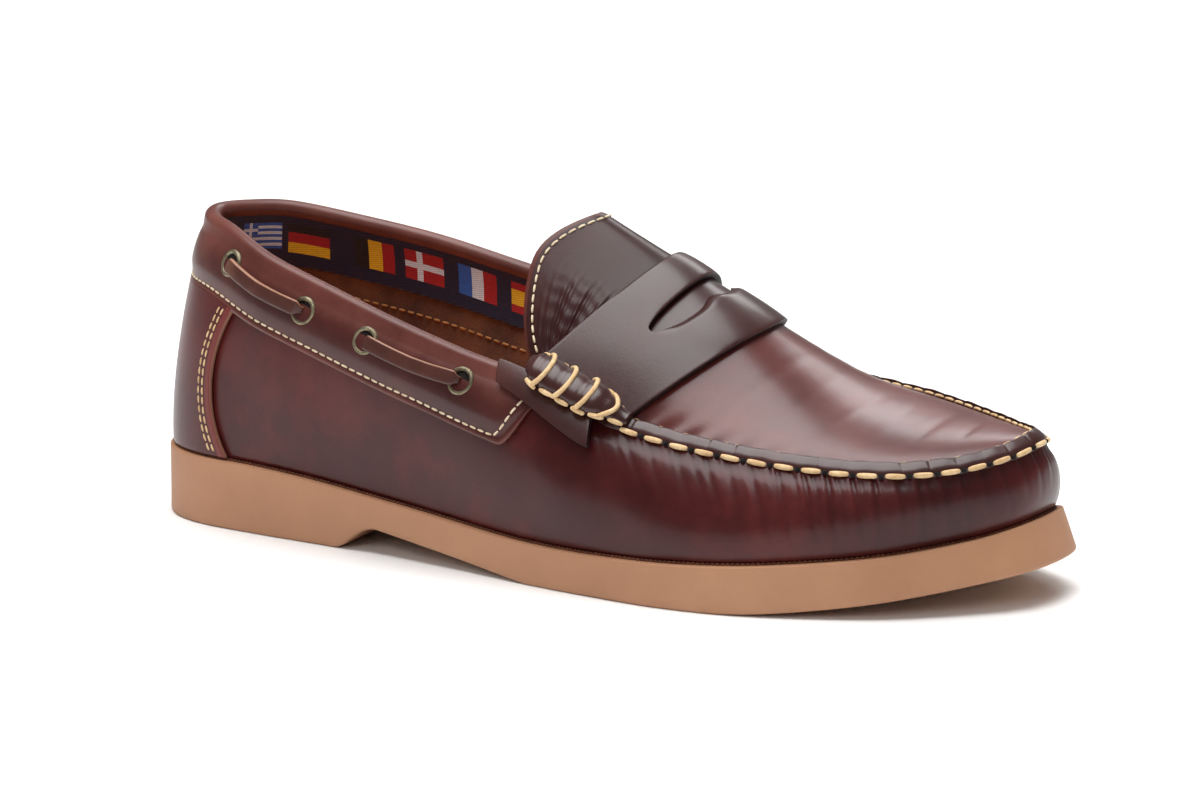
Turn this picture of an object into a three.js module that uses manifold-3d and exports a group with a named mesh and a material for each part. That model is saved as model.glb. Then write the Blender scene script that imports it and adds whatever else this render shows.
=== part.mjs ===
// A slip-on boat shoe for the right foot: a moulded rubber sole, a hand-sewn moccasin upper with a
// penny-slotted saddle strap between two sewn rolls, and a thong laced round the padded collar.
// Written in the shoe's own directions: x outwards from the middle of the heel, y from the heel to
// the toe, z up from the floor. The last lines turn it so that the toe points along -Y.

import * as THREE from "three";
import { mergeVertices } from "three/addons/utils/BufferGeometryUtils.js";
import Module from "manifold-3d";

const wasm = await Module();
wasm.setup();

// Driving sizes, mm.
const LENGTH = 296; // outsole, heel to toe
const BALL_WIDTH = 115; // outsole, across the ball of the foot
const BACK_HEIGHT = 93; // floor to the top of the collar behind the heel
const INSTEP_HEIGHT = 90; // floor to the strap's rear edge on the centre line
const GAP = 0.35; // between pieces that meet

const UPPER_WALL = 2.2; // leather and lining together
const OVERLAY = 1.5; // collar band and heel counter
const STRAP = 2.0;
const TONGUE = 2.2;
const INSOLE = 4.5;
const INSOLE_CUP = 14; // how far the footbed's rim climbs round the heel
const LEDGE = 2.8; // sole edge that shows outside the upper
const ROLL_RADIUS = 2.7; // padded topline
const BAND_DEPTH = 22.5; // topline down to the collar band's lower edge
const RIDGE_RADIUS = 2.5; // gathered seam round the toe plug

const AROUND = 72; // stations round the shoe
const UP = 8; // rows from the sole to the top edge
const ACROSS = 12; // columns over the instep

// The last, a row for each section from the heel to the toe. y and side are the sole's edge, topY,
// top and high the collar's crest or the toe seam, low and swell how far the leather swells out
// near the sole and near the top. y and topY are per cent of LENGTH, side, top, low and swell per
// cent of BALL_WIDTH, high per cent of BACK_HEIGHT.
const LATERAL = table(["y", "side", "topY", "top", "high", "low", "swell"], [
  [2.3, 16.3, 6.2, 8.3, 99.8, 1.0, 4.5],
  [7.3, 25.7, 10.2, 15.9, 98.1, 1.7, 6.0],
  [15.2, 30.2, 16.4, 23.5, 91.6, 2.6, 7.5],
  [24.4, 33.7, 24.6, 27.9, 84.1, 3.0, 8.5],
  [33.1, 37.8, 32.6, 31.7, 76.9, 3.2, 9.0],
  [41.9, 42.6, 40.8, 35.3, 70.5, 4.2, 9.5],
  [49.9, 47.8, 48.4, 38.0, 65.2, 4.8, 9.5],
  [57.8, 52.0, 56.1, 40.3, 56.2, 4.2, 10.5],
  [65.8, 54.9, 64.1, 40.8, 50.5, 3.2, 10.0],
  [73.7, 53.9, 72.3, 40.0, 47.3, 3.4, 9.5],
  [81.0, 48.4, 80.3, 37.0, 45.3, 3.4, 8.5],
  [87.9, 40.4, 87.2, 31.6, 44.7, 3.4, 7.5],
  [93.9, 28.0, 92.2, 21.8, 45.7, 3.4, 6.5],
  [98.7, 14.0, 95.5, 11.0, 48.2, 3.2, 5.5],
]);
const MEDIAL = table(["y", "side", "topY", "top", "high", "low", "swell"], [
  [2.3, 16.3, 6.3, 9.1, 100.6, 1.0, 4.5],
  [7.3, 25.7, 9.6, 17.8, 99.3, 1.7, 6.0],
  [15.2, 30.3, 16.0, 25.5, 94.6, 2.6, 6.5],
  [24.4, 29.3, 24.4, 30.0, 89.3, 4.4, 6.0],
  [33.1, 27.2, 32.7, 33.6, 82.4, 6.5, 5.0],
  [41.9, 27.7, 40.9, 36.5, 75.7, 7.0, 5.0],
  [49.9, 32.2, 48.9, 37.9, 69.4, 6.0, 6.0],
  [57.8, 38.4, 56.1, 37.0, 59.5, 4.8, 7.0],
  [65.8, 43.9, 64.1, 39.0, 55.0, 3.4, 7.5],
  [73.7, 44.8, 72.3, 37.6, 52.4, 3.4, 8.0],
  [81.0, 40.9, 80.3, 33.4, 50.5, 3.4, 7.5],
  [87.9, 34.9, 87.2, 26.3, 48.6, 3.4, 7.0],
  [93.9, 26.8, 92.2, 17.3, 48.2, 3.4, 6.0],
  [98.7, 15.3, 95.6, 8.0, 49.2, 3.2, 5.5],
]);
const HEEL = { y: 0, side: 0, topY: 4.7, top: 0, high: 100.8, low: 0.9, swell: 3.9 };
const TOE = { y: 100, side: -1.5, topY: 96.8, top: 1.0, high: 50.6, low: 3.0, swell: 5.0 };

// The instep, a row for each rib over the foot that starts from the last's section of that number:
// where its crown lies along the shoe (per cent of LENGTH), its height (per cent of INSTEP_HEIGHT)
// and how round the arch is.
const CROWN = table(["section", "y", "high", "round"], [
  [6, 50.6, 110.0, 1.5],
  [7, 57.1, 100.8, 1.6],
  [8, 64.7, 87.2, 2.0],
  [9, 71.3, 72.6, 2.3],
  [10, 77.8, 61.5, 2.4],
  [11, 83.9, 56.6, 2.4],
  [12, 89.2, 54.6, 2.3],
  [13, 93.4, 53.8, 2.2],
  [14, 95.9, 53.3, 2.2],
  [15, 96.8, 52.5, 2.2],
]);

// Height of the sole's top edge, mm, by distance from the heel, per cent of LENGTH.
const SOLE_TOP = table(["y", "z"], [
  [0, 21.2], [17, 20.4], [34, 16.2], [50, 12.4], [67, 13.2], [84, 16.8], [94, 21.2], [100, 26.6],
]);
const TOE_FLARE = 4; // the sole's edge slopes out by this much at the toe
const FLARE_FROM = 0.57 * LENGTH;
const HEEL_BREAST = { foot: 0.252 * LENGTH, top: 0.308 * LENGTH, rise: 7.6 };
const WAIST_END = 0.5 * LENGTH; // the arch comes back to the floor here
const SPRING_FROM = 0.71 * LENGTH; // the toe leaves the floor here
const TOE_SPRING = 12;
const HEEL_ROUND = 2.5;

// Where pieces start and end: numbers of the last's sections, shares of the instep's half width
// on each side, and mm.
const STRAP_SPAN = { rear: 7.05, front: 8.52, lateral: 0.9, medial: 0.9 };
const SLOT_SPAN = { rear: 7.55, front: 7.86, lateral: 0.57, medial: 0.67 };
const TONGUE_JOINT = 7.3;
const TONGUE_EDGE = { half: 37.5, y: 0.49 * LENGTH, bow: 12, ear: 0.55, foot: 61, rise: 41 };
const SIDE_ROLL = { rear: 7.12, front: 8.1, width: 5.2, height: 3.2, blunt: 0.12 };
const TAB = { rear: 6.88, front: 8.1, depth: 11.5 };
const TONGUE_ROOT = { section: TONGUE_JOINT - 0.1, width: 0.8 };
const WALL_BEND = { low: 0.32, high: 0.2 }; // where the wall swells, as shares of its height
const SEAM_LEAN = 0.55; // the gathered seam leans out by this much for each mm that it rises
const ROLL_TURN = 1.35 * Math.PI; // how far the padded topline goes round
const SEATING = 0.2; // eyelets stand off the band by this much
const BAND_END = 7.45; // the collar band goes on to here, under the rolls
const COUNTER_END = 2.55; // front edge of the heel counter
const SEAM_FROM = 8.14; // rear end of the gathered seam
const EYELETS = table(["section", "depth"], [[2.35, 9.8], [3.71, 10.8], [4.7, 10.4], [6.18, 9.8]]);
const EYELET = { radius: 3.2, tube: 1.05, flat: 0.7 };
const THONG = { width: 4.0, thick: 2.2 };

function table(columns, rows) {
  return rows.map((row) => Object.fromEntries(columns.map((name, i) => [name, row[i]])));
}

// Smooth closed curve through values one step apart.
function through(values, at) {
  const n = values.length;
  const pick = (i) => values[((i % n) + n) % n];
  const i = Math.floor(at);
  const f = at - i;
  const [a, b, c, d] = [pick(i - 1), pick(i), pick(i + 1), pick(i + 2)];
  return b + 0.5 * f * (c - a + f * (2 * a - 5 * b + 4 * c - d + f * (3 * (b - c) + d - a)));
}

// Smooth curve through a table's column, read at a value of its first column.
function read(rows, column, at) {
  const key = Object.keys(rows[0])[0];
  let i = 0;
  while (i < rows.length - 2 && rows[i + 1][key] < at) i += 1;
  const slope = (j) => {
    const [a, b] = [rows[Math.max(0, j - 1)], rows[Math.min(rows.length - 1, j + 1)]];
    return (b[column] - a[column]) / (b[key] - a[key]);
  };
  const [a, b] = [rows[i], rows[i + 1]];
  const span = b[key] - a[key];
  const f = Math.min(1, Math.max(0, (at - a[key]) / span));
  const h = f * f * (3 - 2 * f);
  return a[column] * (1 - h) + b[column] * h
    + span * (slope(i) * f * (1 - f) * (1 - f) - slope(i + 1) * f * f * (1 - f));
}

// The ring of sections: heel, lateral side, toe, and back along the medial side.
const RING = [
  { ...HEEL, sign: 1 },
  ...LATERAL.map((row) => ({ ...row, sign: 1 })),
  { ...TOE, sign: 1 },
  ...[...MEDIAL].reverse().map((row) => ({ ...row, sign: -1 })),
];
const SECTIONS = RING.length / 2; // sections from the heel to the toe
const COLUMNS = {
  y: RING.map((row) => (row.y * LENGTH) / 100),
  x: RING.map((row) => (row.sign * row.side * BALL_WIDTH) / 100),
  topY: RING.map((row) => (row.topY * LENGTH) / 100),
  topX: RING.map((row) => (row.sign * row.top * BALL_WIDTH) / 100),
  topZ: RING.map((row) => (row.high * BACK_HEIGHT) / 100),
  low: RING.map((row) => (row.low * BALL_WIDTH) / 100),
  swell: RING.map((row) => (row.swell * BALL_WIDTH) / 100),
};

const ring = (name, k) => through(COLUMNS[name], k);
const soleTop = (y) => read(SOLE_TOP, "z", (100 * y) / LENGTH);

// Horizontal direction out of the shoe at section k of the ring.
function outward(k) {
  const step = 0.05;
  const dx = ring("x", k + step) - ring("x", k - step);
  const dy = ring("y", k + step) - ring("y", k - step);
  return new THREE.Vector3(dy, -dx, 0).normalize();
}

// Sole's edge at section k, moved in by inset.
function edge(k, inset) {
  return new THREE.Vector3(ring("x", k), ring("y", k), 0).addScaledVector(outward(k), -inset);
}

function flare(y) {
  const share = THREE.MathUtils.clamp((y - FLARE_FROM) / (LENGTH - FLARE_FROM), 0, 1);
  return TOE_FLARE * share * share;
}

// The upper's side wall: a curve from the sole up to the collar or the toe seam.
function wallCurve(k) {
  const out = outward(k);
  const foot = edge(k, LEDGE + flare(ring("y", k)));
  foot.z = soleTop(foot.y) + GAP;
  const top = new THREE.Vector3(ring("topX", k), ring("topY", k), ring("topZ", k));
  const tall = top.z - foot.z;
  const low = foot.clone().addScaledVector(out, ring("low", k));
  low.z += WALL_BEND.low * tall;
  const high = top.clone().addScaledVector(out, ring("swell", k));
  high.z -= WALL_BEND.high * tall;
  return new THREE.CubicBezierCurve3(foot, low, high, top);
}

// Point of the wall at section k and height h from 0 to 1, moved out of the leather by lift.
function wallFrame(k, h) {
  const curve = wallCurve(k);
  const point = curve.getPoint(h);
  const up = curve.getTangent(h);
  const step = 0.04;
  const along = wallCurve(k + step).getPoint(h).sub(wallCurve(k - step).getPoint(h));
  const out = along.cross(up).normalize();
  return { point, up, out };
}

function wall(k, h, lift) {
  const { point, out } = wallFrame(k, h);
  return point.addScaledVector(out, lift);
}

// Height on the wall that lies depth below its top edge, measured along the leather.
function below(k, depth) {
  const curve = wallCurve(k);
  return curve.getUtoTmapping(0, curve.getLength() - depth);
}

// Point of the instep on the rib from section k, at across from 1 (lateral) to -1 (medial).
function rib(k, across) {
  const side = (name) => {
    const [a, b] = [ring(name, k), ring(name, 2 * SECTIONS - k)];
    return { middle: (a + b) / 2, half: (a - b) / 2 };
  };
  const [x, y, z] = [side("topX"), side("topY"), side("topZ")];
  const arch = 1 - Math.pow(Math.hypot(across, 0.12), read(CROWN, "round", k));
  const crownY = (read(CROWN, "y", k) * LENGTH) / 100;
  const crownZ = (read(CROWN, "high", k) * INSTEP_HEIGHT) / 100;
  return new THREE.Vector3(
    x.middle + across * x.half,
    y.middle + across * y.half + (crownY - y.middle) * arch,
    z.middle + across * z.half + (crownZ - z.middle) * arch,
  );
}

function instep(k, across, lift) {
  const step = 0.03;
  const along = rib(k + step, across).sub(rib(k - step, across));
  const sideways = rib(k, across + step).sub(rib(k, across - step));
  const out = sideways.cross(along).normalize();
  return rib(k, across).addScaledVector(out, lift);
}

// Evenly spaced numbers from a to b.
function steps(a, b, count) {
  return Array.from({ length: count + 1 }, (_, i) => a + ((b - a) * i) / count);
}

// Closed body through a row of rings. A ring's points run out along one side and back along the
// other, so that an end is closed by rungs between its first and last point, its second and last
// but one, and so on. A wrapped loft joins its last ring to its first and has no ends.
function loft(rings, wrapped = false) {
  const size = rings[0].length;
  const index = [];
  const quad = (a, b, c, d) => index.push(a, b, c, a, c, d);
  const count = wrapped ? rings.length : rings.length - 1;
  for (let i = 0; i < count; i += 1) {
    const next = ((i + 1) % rings.length) * size;
    for (let j = 0; j < size; j += 1) {
      const k = (j + 1) % size;
      quad(i * size + j, i * size + k, next + k, next + j);
    }
  }
  if (!wrapped) {
    const last = (rings.length - 1) * size;
    for (let j = 0; j < size / 2 - 1; j += 1) {
      quad(size - 1 - j, size - 2 - j, j + 1, j);
      quad(last + j, last + j + 1, last + size - 2 - j, last + size - 1 - j);
    }
  }
  const geometry = new THREE.BufferGeometry();
  const points = rings.flat().flatMap((point) => point.toArray());
  geometry.setAttribute("position", new THREE.Float32BufferAttribute(points, 3));
  geometry.setIndex(index);
  return outwards(geometry);
}

// The same body with its faces pointing out and its shared points merged.
function outwards(geometry) {
  geometry.deleteAttribute("normal");
  geometry.deleteAttribute("uv");
  const merged = mergeVertices(geometry, 1e-4);
  const place = merged.attributes.position;
  const index = merged.index.array;
  const corner = (i) => new THREE.Vector3().fromBufferAttribute(place, index[i]);
  let volume = 0;
  const kept = [];
  for (let i = 0; i < index.length; i += 3) {
    if (index[i] === index[i + 1] || index[i + 1] === index[i + 2] || index[i] === index[i + 2]) continue;
    volume += corner(i).dot(corner(i + 1).cross(corner(i + 2)));
    kept.push(index[i], index[i + 1], index[i + 2]);
  }
  merged.setIndex(volume > 0 ? kept : kept.reverse());
  return merged;
}

function solid(geometry) {
  return new wasm.Manifold(new wasm.Mesh({
    numProp: 3,
    vertProperties: new Float32Array(geometry.attributes.position.array),
    triVerts: new Uint32Array(geometry.index.array),
  }));
}

function body(manifold) {
  const mesh = manifold.getMesh();
  const geometry = new THREE.BufferGeometry();
  geometry.setAttribute("position", new THREE.BufferAttribute(new Float32Array(mesh.vertProperties), 3));
  geometry.setIndex(new THREE.BufferAttribute(new Uint32Array(mesh.triVerts), 1));
  return geometry;
}

// Sheet between two lifts of a surface: columns of u, rows of v.
function sheet(surface, us, vs, inner, outer) {
  return loft(us.map((u) => [
    ...vs.map((v) => surface(u, v, outer)),
    ...[...vs].reverse().map((v) => surface(u, v, inner)),
  ]));
}

// Stations round the shoe: half a step off the heel and the toe, so that the two sides pair up.
const STATIONS = steps(0, 2 * SECTIONS, AROUND).slice(0, AROUND)
  .map((k) => k + SECTIONS / AROUND);

// Stations of one side or across the heel, between two sections.
function stations(from, to) {
  const inside = STATIONS.flatMap((k) => [k - 2 * SECTIONS, k])
    .filter((k) => k > from + 0.08 && k < to - 0.08)
    .sort((a, b) => a - b);
  return [from, ...inside, to];
}

function outsole() {
  const contour = (level, inset) => STATIONS.map((k) => {
    const point = edge(k, inset(ring("y", k)));
    point.z = level(point.y);
    return point;
  });
  const blank = loft([
    contour(() => -TOE_SPRING, () => 0),
    contour((y) => underside(y), () => 0),
    contour((y) => soleTop(y), flare),
  ]);
  return body(solid(blank).subtract(solid(belowSole())));
}

// Height of the sole's lower edge at the toe.
function underside(y) {
  const share = Math.max(0, (y - SPRING_FROM) / (LENGTH - SPRING_FROM));
  return TOE_SPRING * Math.pow(share, 1.6);
}

// Everything under the tread, as one extrusion across the shoe: flat heel, arch, flat forefoot,
// toe spring.
function belowSole() {
  const clear = 20;
  const outline = new THREE.Shape();
  outline.moveTo(-clear, -clear);
  outline.lineTo(-clear, HEEL_ROUND);
  outline.lineTo(0, HEEL_ROUND);
  outline.quadraticCurveTo(0, 0, HEEL_ROUND, 0);
  outline.lineTo(HEEL_BREAST.foot, 0);
  outline.bezierCurveTo(
    HEEL_BREAST.foot + 6, 0,
    HEEL_BREAST.top - 8, HEEL_BREAST.rise,
    HEEL_BREAST.top, HEEL_BREAST.rise,
  );
  outline.lineTo(WAIST_END, 0);
  outline.lineTo(SPRING_FROM, 0);
  for (const y of steps(SPRING_FROM, LENGTH, 10).slice(1)) outline.lineTo(y, underside(y));
  outline.lineTo(LENGTH + clear, TOE_SPRING);
  outline.lineTo(LENGTH + clear, -clear);
  const cutter = new THREE.ExtrudeGeometry(outline, {
    depth: 2 * BALL_WIDTH, bevelEnabled: false, curveSegments: 5,
  });
  cutter.rotateX(Math.PI / 2);
  cutter.rotateZ(Math.PI / 2);
  cutter.translate(-BALL_WIDTH, 0, 0);
  return outwards(cutter);
}

// Footbed: flat on the sole, with a rim that runs up the wall round the heel like a cup.
function insole() {
  const seat = UPPER_WALL + 2 * GAP;
  const contour = (climb, inset) => STATIONS.map((k) => {
    const side = Math.min(k, 2 * SECTIONS - k);
    const rim = INSOLE + INSOLE_CUP * (1 - THREE.MathUtils.smoothstep(side, 3, 7));
    const foot = wallCurve(k).getUtoTmapping(0, 0.01 + climb(rim));
    return wall(k, foot, -seat - inset);
  });
  const floor = contour(() => 0, 1.2 * INSOLE);
  floor.forEach((point) => { point.z += INSOLE; });
  return loft([contour(() => 0, 0), contour((rim) => rim, 0), contour((rim) => rim, 1.6), floor]);
}

// Depth of the wall's own top edge under the crest: below the padded roll round the collar, and
// nothing where the wall meets the toe plug.
function wallTop(k) {
  const side = Math.min(k, 2 * SECTIONS - k);
  const share = THREE.MathUtils.smoothstep(side, BAND_END + 0.1, SEAM_FROM);
  return (2 * ROLL_RADIUS + 3 * GAP) * (1 - share) + 0.01;
}

// One hollow shell: the side wall all round, the plug over the toes, and the gathered seam
// between them.
function upper() {
  const walls = loft(STATIONS.map((k) => {
    const rows = steps(0, below(k, wallTop(k)), UP);
    return [
      ...rows.map((h) => wall(k, h, 0)),
      ...rows.reverse().map((h) => wall(k, h, -UPPER_WALL)),
    ];
  }), true);
  const clearOfBand = (k) => 1 - 0.12 * (1 - THREE.MathUtils.smoothstep(k, TONGUE_JOINT, SEAM_FROM));
  const plug = sheet(
    (k, across, lift) => instep(k, across * clearOfBand(k), lift),
    stations(TONGUE_JOINT, SECTIONS).slice(0, -1),
    steps(-1, 1, ACROSS),
    -UPPER_WALL,
    0,
  );
  const seamPath = stations(SEAM_FROM, 2 * SECTIONS - SEAM_FROM);
  const ridge = loft(seamPath.map((k) => seamRing(k, RIDGE_RADIUS, RIDGE_RADIUS)));
  return body(solid(walls).add(solid(plug)).add(solid(ridge)));
}

// Directions at the top edge of the wall: up out of the seam, and across it.
function seamFrame(k) {
  const { point, up, out } = wallFrame(k, 1);
  const across = out.clone().setZ(0).normalize();
  const raised = across.clone().multiplyScalar(SEAM_LEAN).add(new THREE.Vector3(0, 0, 1)).normalize();
  const along = across.clone().cross(up).normalize();
  const flat = raised.clone().cross(along).normalize();
  return { point, raised, flat };
}

function seamRing(k, half, height, lift = 0) {
  const { point, raised, flat } = seamFrame(k);
  const centre = point.addScaledVector(raised, lift);
  return steps(0, 2 * Math.PI, 10).slice(0, -1).map((angle) => centre.clone()
    .addScaledVector(flat, half * Math.cos(angle + Math.PI / 10))
    .addScaledVector(raised, height * Math.sin(angle + Math.PI / 10)));
}

// The strap sewn over the instep, with the penny slot cut through it.
function saddleStrap() {
  const band = (span, inner, outer) => solid(sheet(
    instep,
    stations(span.rear, span.front),
    steps(-span.medial, span.lateral, ACROSS),
    inner,
    outer,
  ));
  const strap = band(STRAP_SPAN, GAP, GAP + STRAP);
  return body(strap.subtract(band(SLOT_SPAN, -STRAP, 3 * STRAP)));
}

// The tongue stands up out of the throat behind the strap: a sheet from the hidden joint to its
// own arched edge.
function tonguePoint(share, across, lift) {
  const at = (r, s) => {
    const root = rib(TONGUE_ROOT.section, s * TONGUE_ROOT.width);
    const side = Math.min(1, Math.abs(s));
    const { half, y, bow, ear, foot, rise } = TONGUE_EDGE;
    const back = side < ear
      ? 0.5 - 0.5 * Math.cos((Math.PI * side) / ear)
      : Math.sqrt(1 - ((side - ear) / (1 - ear)) ** 2);
    const tip = new THREE.Vector3(half * s, y - bow * back, foot + rise * (1 - side * side));
    return root.lerp(tip, r);
  };
  const step = 0.02;
  const along = at(share - step, across).sub(at(share + step, across));
  const sideways = at(share, across + step).sub(at(share, across - step));
  return at(share, across).addScaledVector(sideways.cross(along).normalize(), lift);
}

function tongue() {
  return sheet(tonguePoint, steps(0, 1, 6), steps(-1, 1, ACROSS), -TONGUE - GAP / 2, -GAP / 2);
}

// Padded topline and the flat band sewn under it, as one strip from side to side round the heel.
function collarBand() {
  const profile = (k) => {
    const depths = steps(BAND_DEPTH, 2 * ROLL_RADIUS, 3);
    const { up, out } = wallFrame(k, below(k, ROLL_RADIUS));
    const centre = wall(k, below(k, ROLL_RADIUS), GAP + OVERLAY - ROLL_RADIUS);
    const roll = steps(0, ROLL_TURN, 5).map((angle) => centre.clone()
      .addScaledVector(out, ROLL_RADIUS * Math.cos(angle))
      .addScaledVector(up, ROLL_RADIUS * Math.sin(angle)));
    return [
      ...depths.map((depth) => wall(k, below(k, depth), GAP + OVERLAY)),
      ...roll,
      ...depths.reverse().map((depth) => wall(k, below(k, depth), GAP)),
    ];
  };
  return loft(stations(-BAND_END, BAND_END).map(profile));
}

function heelCounter() {
  const foot = 0.015;
  return loft(stations(-COUNTER_END, COUNTER_END).map((k) => {
    const rows = steps(foot, below(k, BAND_DEPTH + GAP), 5);
    return [
      ...rows.map((h) => wall(k, h, GAP + OVERLAY)),
      ...rows.reverse().map((h) => wall(k, h, GAP)),
    ];
  }));
}

// Sewn roll at one end of the strap, with the strap's end coming out under it as a tab.
function sideRoll(side) {
  const section = (k) => (side > 0 ? k : 2 * SECTIONS - k);
  const { rear, front, width, height, blunt } = SIDE_ROLL;
  const roll = loft(steps(0, 1, 8).map((f) => {
    const end = Math.sqrt(Math.max(blunt, 1 - Math.pow(2 * f - 1, 6)));
    const k = section(rear + (front - rear) * f);
    return seamRing(k, width * end, height * end, height + STRAP + 2 * GAP);
  }));
  const tab = sheet(
    (k, depth, lift) => wall(section(k), below(section(k), depth), lift),
    stations(TAB.rear, TAB.front),
    steps(1, TAB.depth, 4),
    2 * GAP + OVERLAY,
    2 * GAP + OVERLAY + STRAP,
  );
  return body(solid(roll).add(solid(tab)));
}

function eyelet(section, depth) {
  const { radius, tube, flat } = EYELET;
  const h = below(section, depth);
  const { out } = wallFrame(section, h);
  const ringShape = new THREE.TorusGeometry(radius, tube, 6, 12);
  ringShape.scale(1, 1, flat);
  const turn = new THREE.Quaternion().setFromUnitVectors(new THREE.Vector3(0, 0, 1), out);
  ringShape.applyQuaternion(turn);
  const seat = wall(section, h, 2 * GAP + OVERLAY + SEATING + tube * flat);
  ringShape.translate(seat.x, seat.y, seat.z);
  return outwards(ringShape);
}

// Length of thong that shows between two eyelets, over their rims.
function thong(from, to) {
  const lift = 3 * GAP + OVERLAY + 2 * SEATING + 2 * EYELET.tube * EYELET.flat + THONG.thick / 2;
  return loft(steps(0, 1, 8).map((f) => {
    const k = from.section + (to.section - from.section) * f;
    const depth = from.depth + (to.depth - from.depth) * f;
    const { up, out } = wallFrame(k, below(k, depth));
    const centre = wall(k, below(k, depth), lift);
    return steps(0, 2 * Math.PI, 8).slice(0, -1).map((angle) => centre.clone()
      .addScaledVector(up, (THONG.width / 2) * Math.cos(angle + Math.PI / 8))
      .addScaledVector(out, (THONG.thick / 2) * Math.sin(angle + Math.PI / 8)));
  }));
}

const LOOKS = {
  leather: { color: 0x4a1d18, roughness: 0.42, metalness: 0 },
  collar: { color: 0x6e3328, roughness: 0.5, metalness: 0 },
  insole: { color: 0xd0641c, roughness: 0.6, metalness: 0 },
  rubber: { color: 0xa0714c, roughness: 0.6, metalness: 0 },
  thong: { color: 0x6b3a28, roughness: 0.65, metalness: 0 },
  brass: { color: 0x8d7b5e, roughness: 0.35, metalness: 0.9 },
};
const shoe = new THREE.Group();

function add(name, geometry, look) {
  const mesh = new THREE.Mesh(geometry, new THREE.MeshStandardMaterial(LOOKS[look]));
  mesh.name = name;
  shoe.add(mesh);
}

add("outsole", outsole(), "rubber");
add("insole", insole(), "insole");
add("upper", upper(), "leather");
add("tongue", tongue(), "leather");
add("saddle_strap", saddleStrap(), "leather");
add("collar_band", collarBand(), "collar");
add("heel_counter", heelCounter(), "leather");
for (const [side, name] of [[1, "lateral"], [-1, "medial"]]) {
  const places = EYELETS.map((place) => ({ section: side * place.section, depth: place.depth }));
  add(`side_roll_${name}`, sideRoll(side), "leather");
  places.forEach((place, i) => {
    add(`eyelet_${name}_${i + 1}`, eyelet(place.section, place.depth), "brass");
  });
  add(`thong_${name}_rear`, thong(places[0], places[1]), "thong");
  add(`thong_${name}_front`, thong(places[2], places[3]), "thong");
}

// Toe towards -Y, the origin on the floor under the middle of the shoe.
const reach = new THREE.Box3().setFromObject(shoe);
const middle = reach.getCenter(new THREE.Vector3());
shoe.rotation.z = Math.PI;
shoe.position.set(middle.x, middle.y, 0);

export default shoe;
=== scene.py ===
# %% [markdown]
# # A boat shoe
# The shoe stands alone on a pale floor. Its measured solids come in as a fixed frame, and every
# visible piece is then made again with fine detail: leather that folds and creases, raw cut edges,
# thick hand-sewn stitches and a woven ribbon. All lengths below are in millimetres and in the
# shoe's own directions: x outwards from the middle of the heel, y from the heel to the toe, z up.

# %% Frame and tools
import math

import bmesh
import bpy
import numpy as np
from mathutils import Matrix, Vector


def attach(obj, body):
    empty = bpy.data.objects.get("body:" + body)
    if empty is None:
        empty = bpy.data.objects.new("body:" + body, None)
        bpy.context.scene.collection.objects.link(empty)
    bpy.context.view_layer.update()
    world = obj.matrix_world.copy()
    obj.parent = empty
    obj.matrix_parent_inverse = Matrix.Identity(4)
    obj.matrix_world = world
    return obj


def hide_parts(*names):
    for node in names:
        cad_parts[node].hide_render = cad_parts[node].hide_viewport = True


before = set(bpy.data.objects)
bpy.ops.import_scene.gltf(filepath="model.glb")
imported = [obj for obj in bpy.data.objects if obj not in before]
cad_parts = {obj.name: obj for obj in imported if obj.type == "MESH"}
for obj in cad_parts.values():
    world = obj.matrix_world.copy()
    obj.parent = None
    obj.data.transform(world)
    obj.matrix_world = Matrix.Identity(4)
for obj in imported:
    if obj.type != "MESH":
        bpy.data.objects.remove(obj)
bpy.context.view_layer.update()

print("pieces in the frame:", len(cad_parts))

# %% [markdown]
# The frame holds the shoe with its toe along -Y and its middle at the origin, in metres. One small
# function carries a point of the shoe into it: a half turn about the vertical and a shift.

# %% From the shoe's directions to the frame
MIDDLE = np.array([5.7529, 148.1353, 0.0])
HALF_TURN = np.array([-1.0, -1.0, 1.0])


def to_frame(points):
    return (points - MIDDLE) * HALF_TURN / 1000


# %% [markdown]
# The camera comes first, because it decides how much detail is worth making. A long lens keeps the
# toe and the heel at their true proportions, as a product picture does.


# %% Camera
def show(thing):
    bpy.context.scene.collection.objects.link(thing)


CAMERA_PLACE = Vector((-1.610, -0.822, 0.430))
AIM = Vector((0.0, 0.0, 0.046))
lens = bpy.data.cameras.new("camera")
lens.lens = 186
lens.clip_end = 20
camera = bpy.data.objects.new("camera", lens)
camera.location = CAMERA_PLACE
camera.rotation_euler = (AIM - CAMERA_PLACE).to_track_quat("-Z", "Y").to_euler()
show(camera)
bpy.context.scene.camera = camera
print("camera stands off by", round((AIM - CAMERA_PLACE).length, 3), "m")

# %% [markdown]
# ## The last
# A shoemaker builds every leather part over one wooden last, so that they all fit. Here the last is
# a small table: a row for each section from the heel to the toe, with the sole's edge, the crest
# of the collar or the toe seam, and how far the leather swells out. Every piece below is a sheet
# laid on these curves, so a change to one number moves all the pieces together.

# %% Sizes of the shoe, in millimetres
LENGTH = 296.0
BALL_WIDTH = 115.0
BACK_HEIGHT = 93.0
INSTEP_HEIGHT = 90.0
GAP = 0.35
UPPER_WALL = 2.2
OVERLAY = 1.5
STRAP = 2.0
INSOLE = 4.5
LEDGE = 2.8
ROLL_RADIUS = 2.7
BAND_DEPTH = 22.5
print("length", LENGTH, "width", BALL_WIDTH, "heel", BACK_HEIGHT, "mm")

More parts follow.
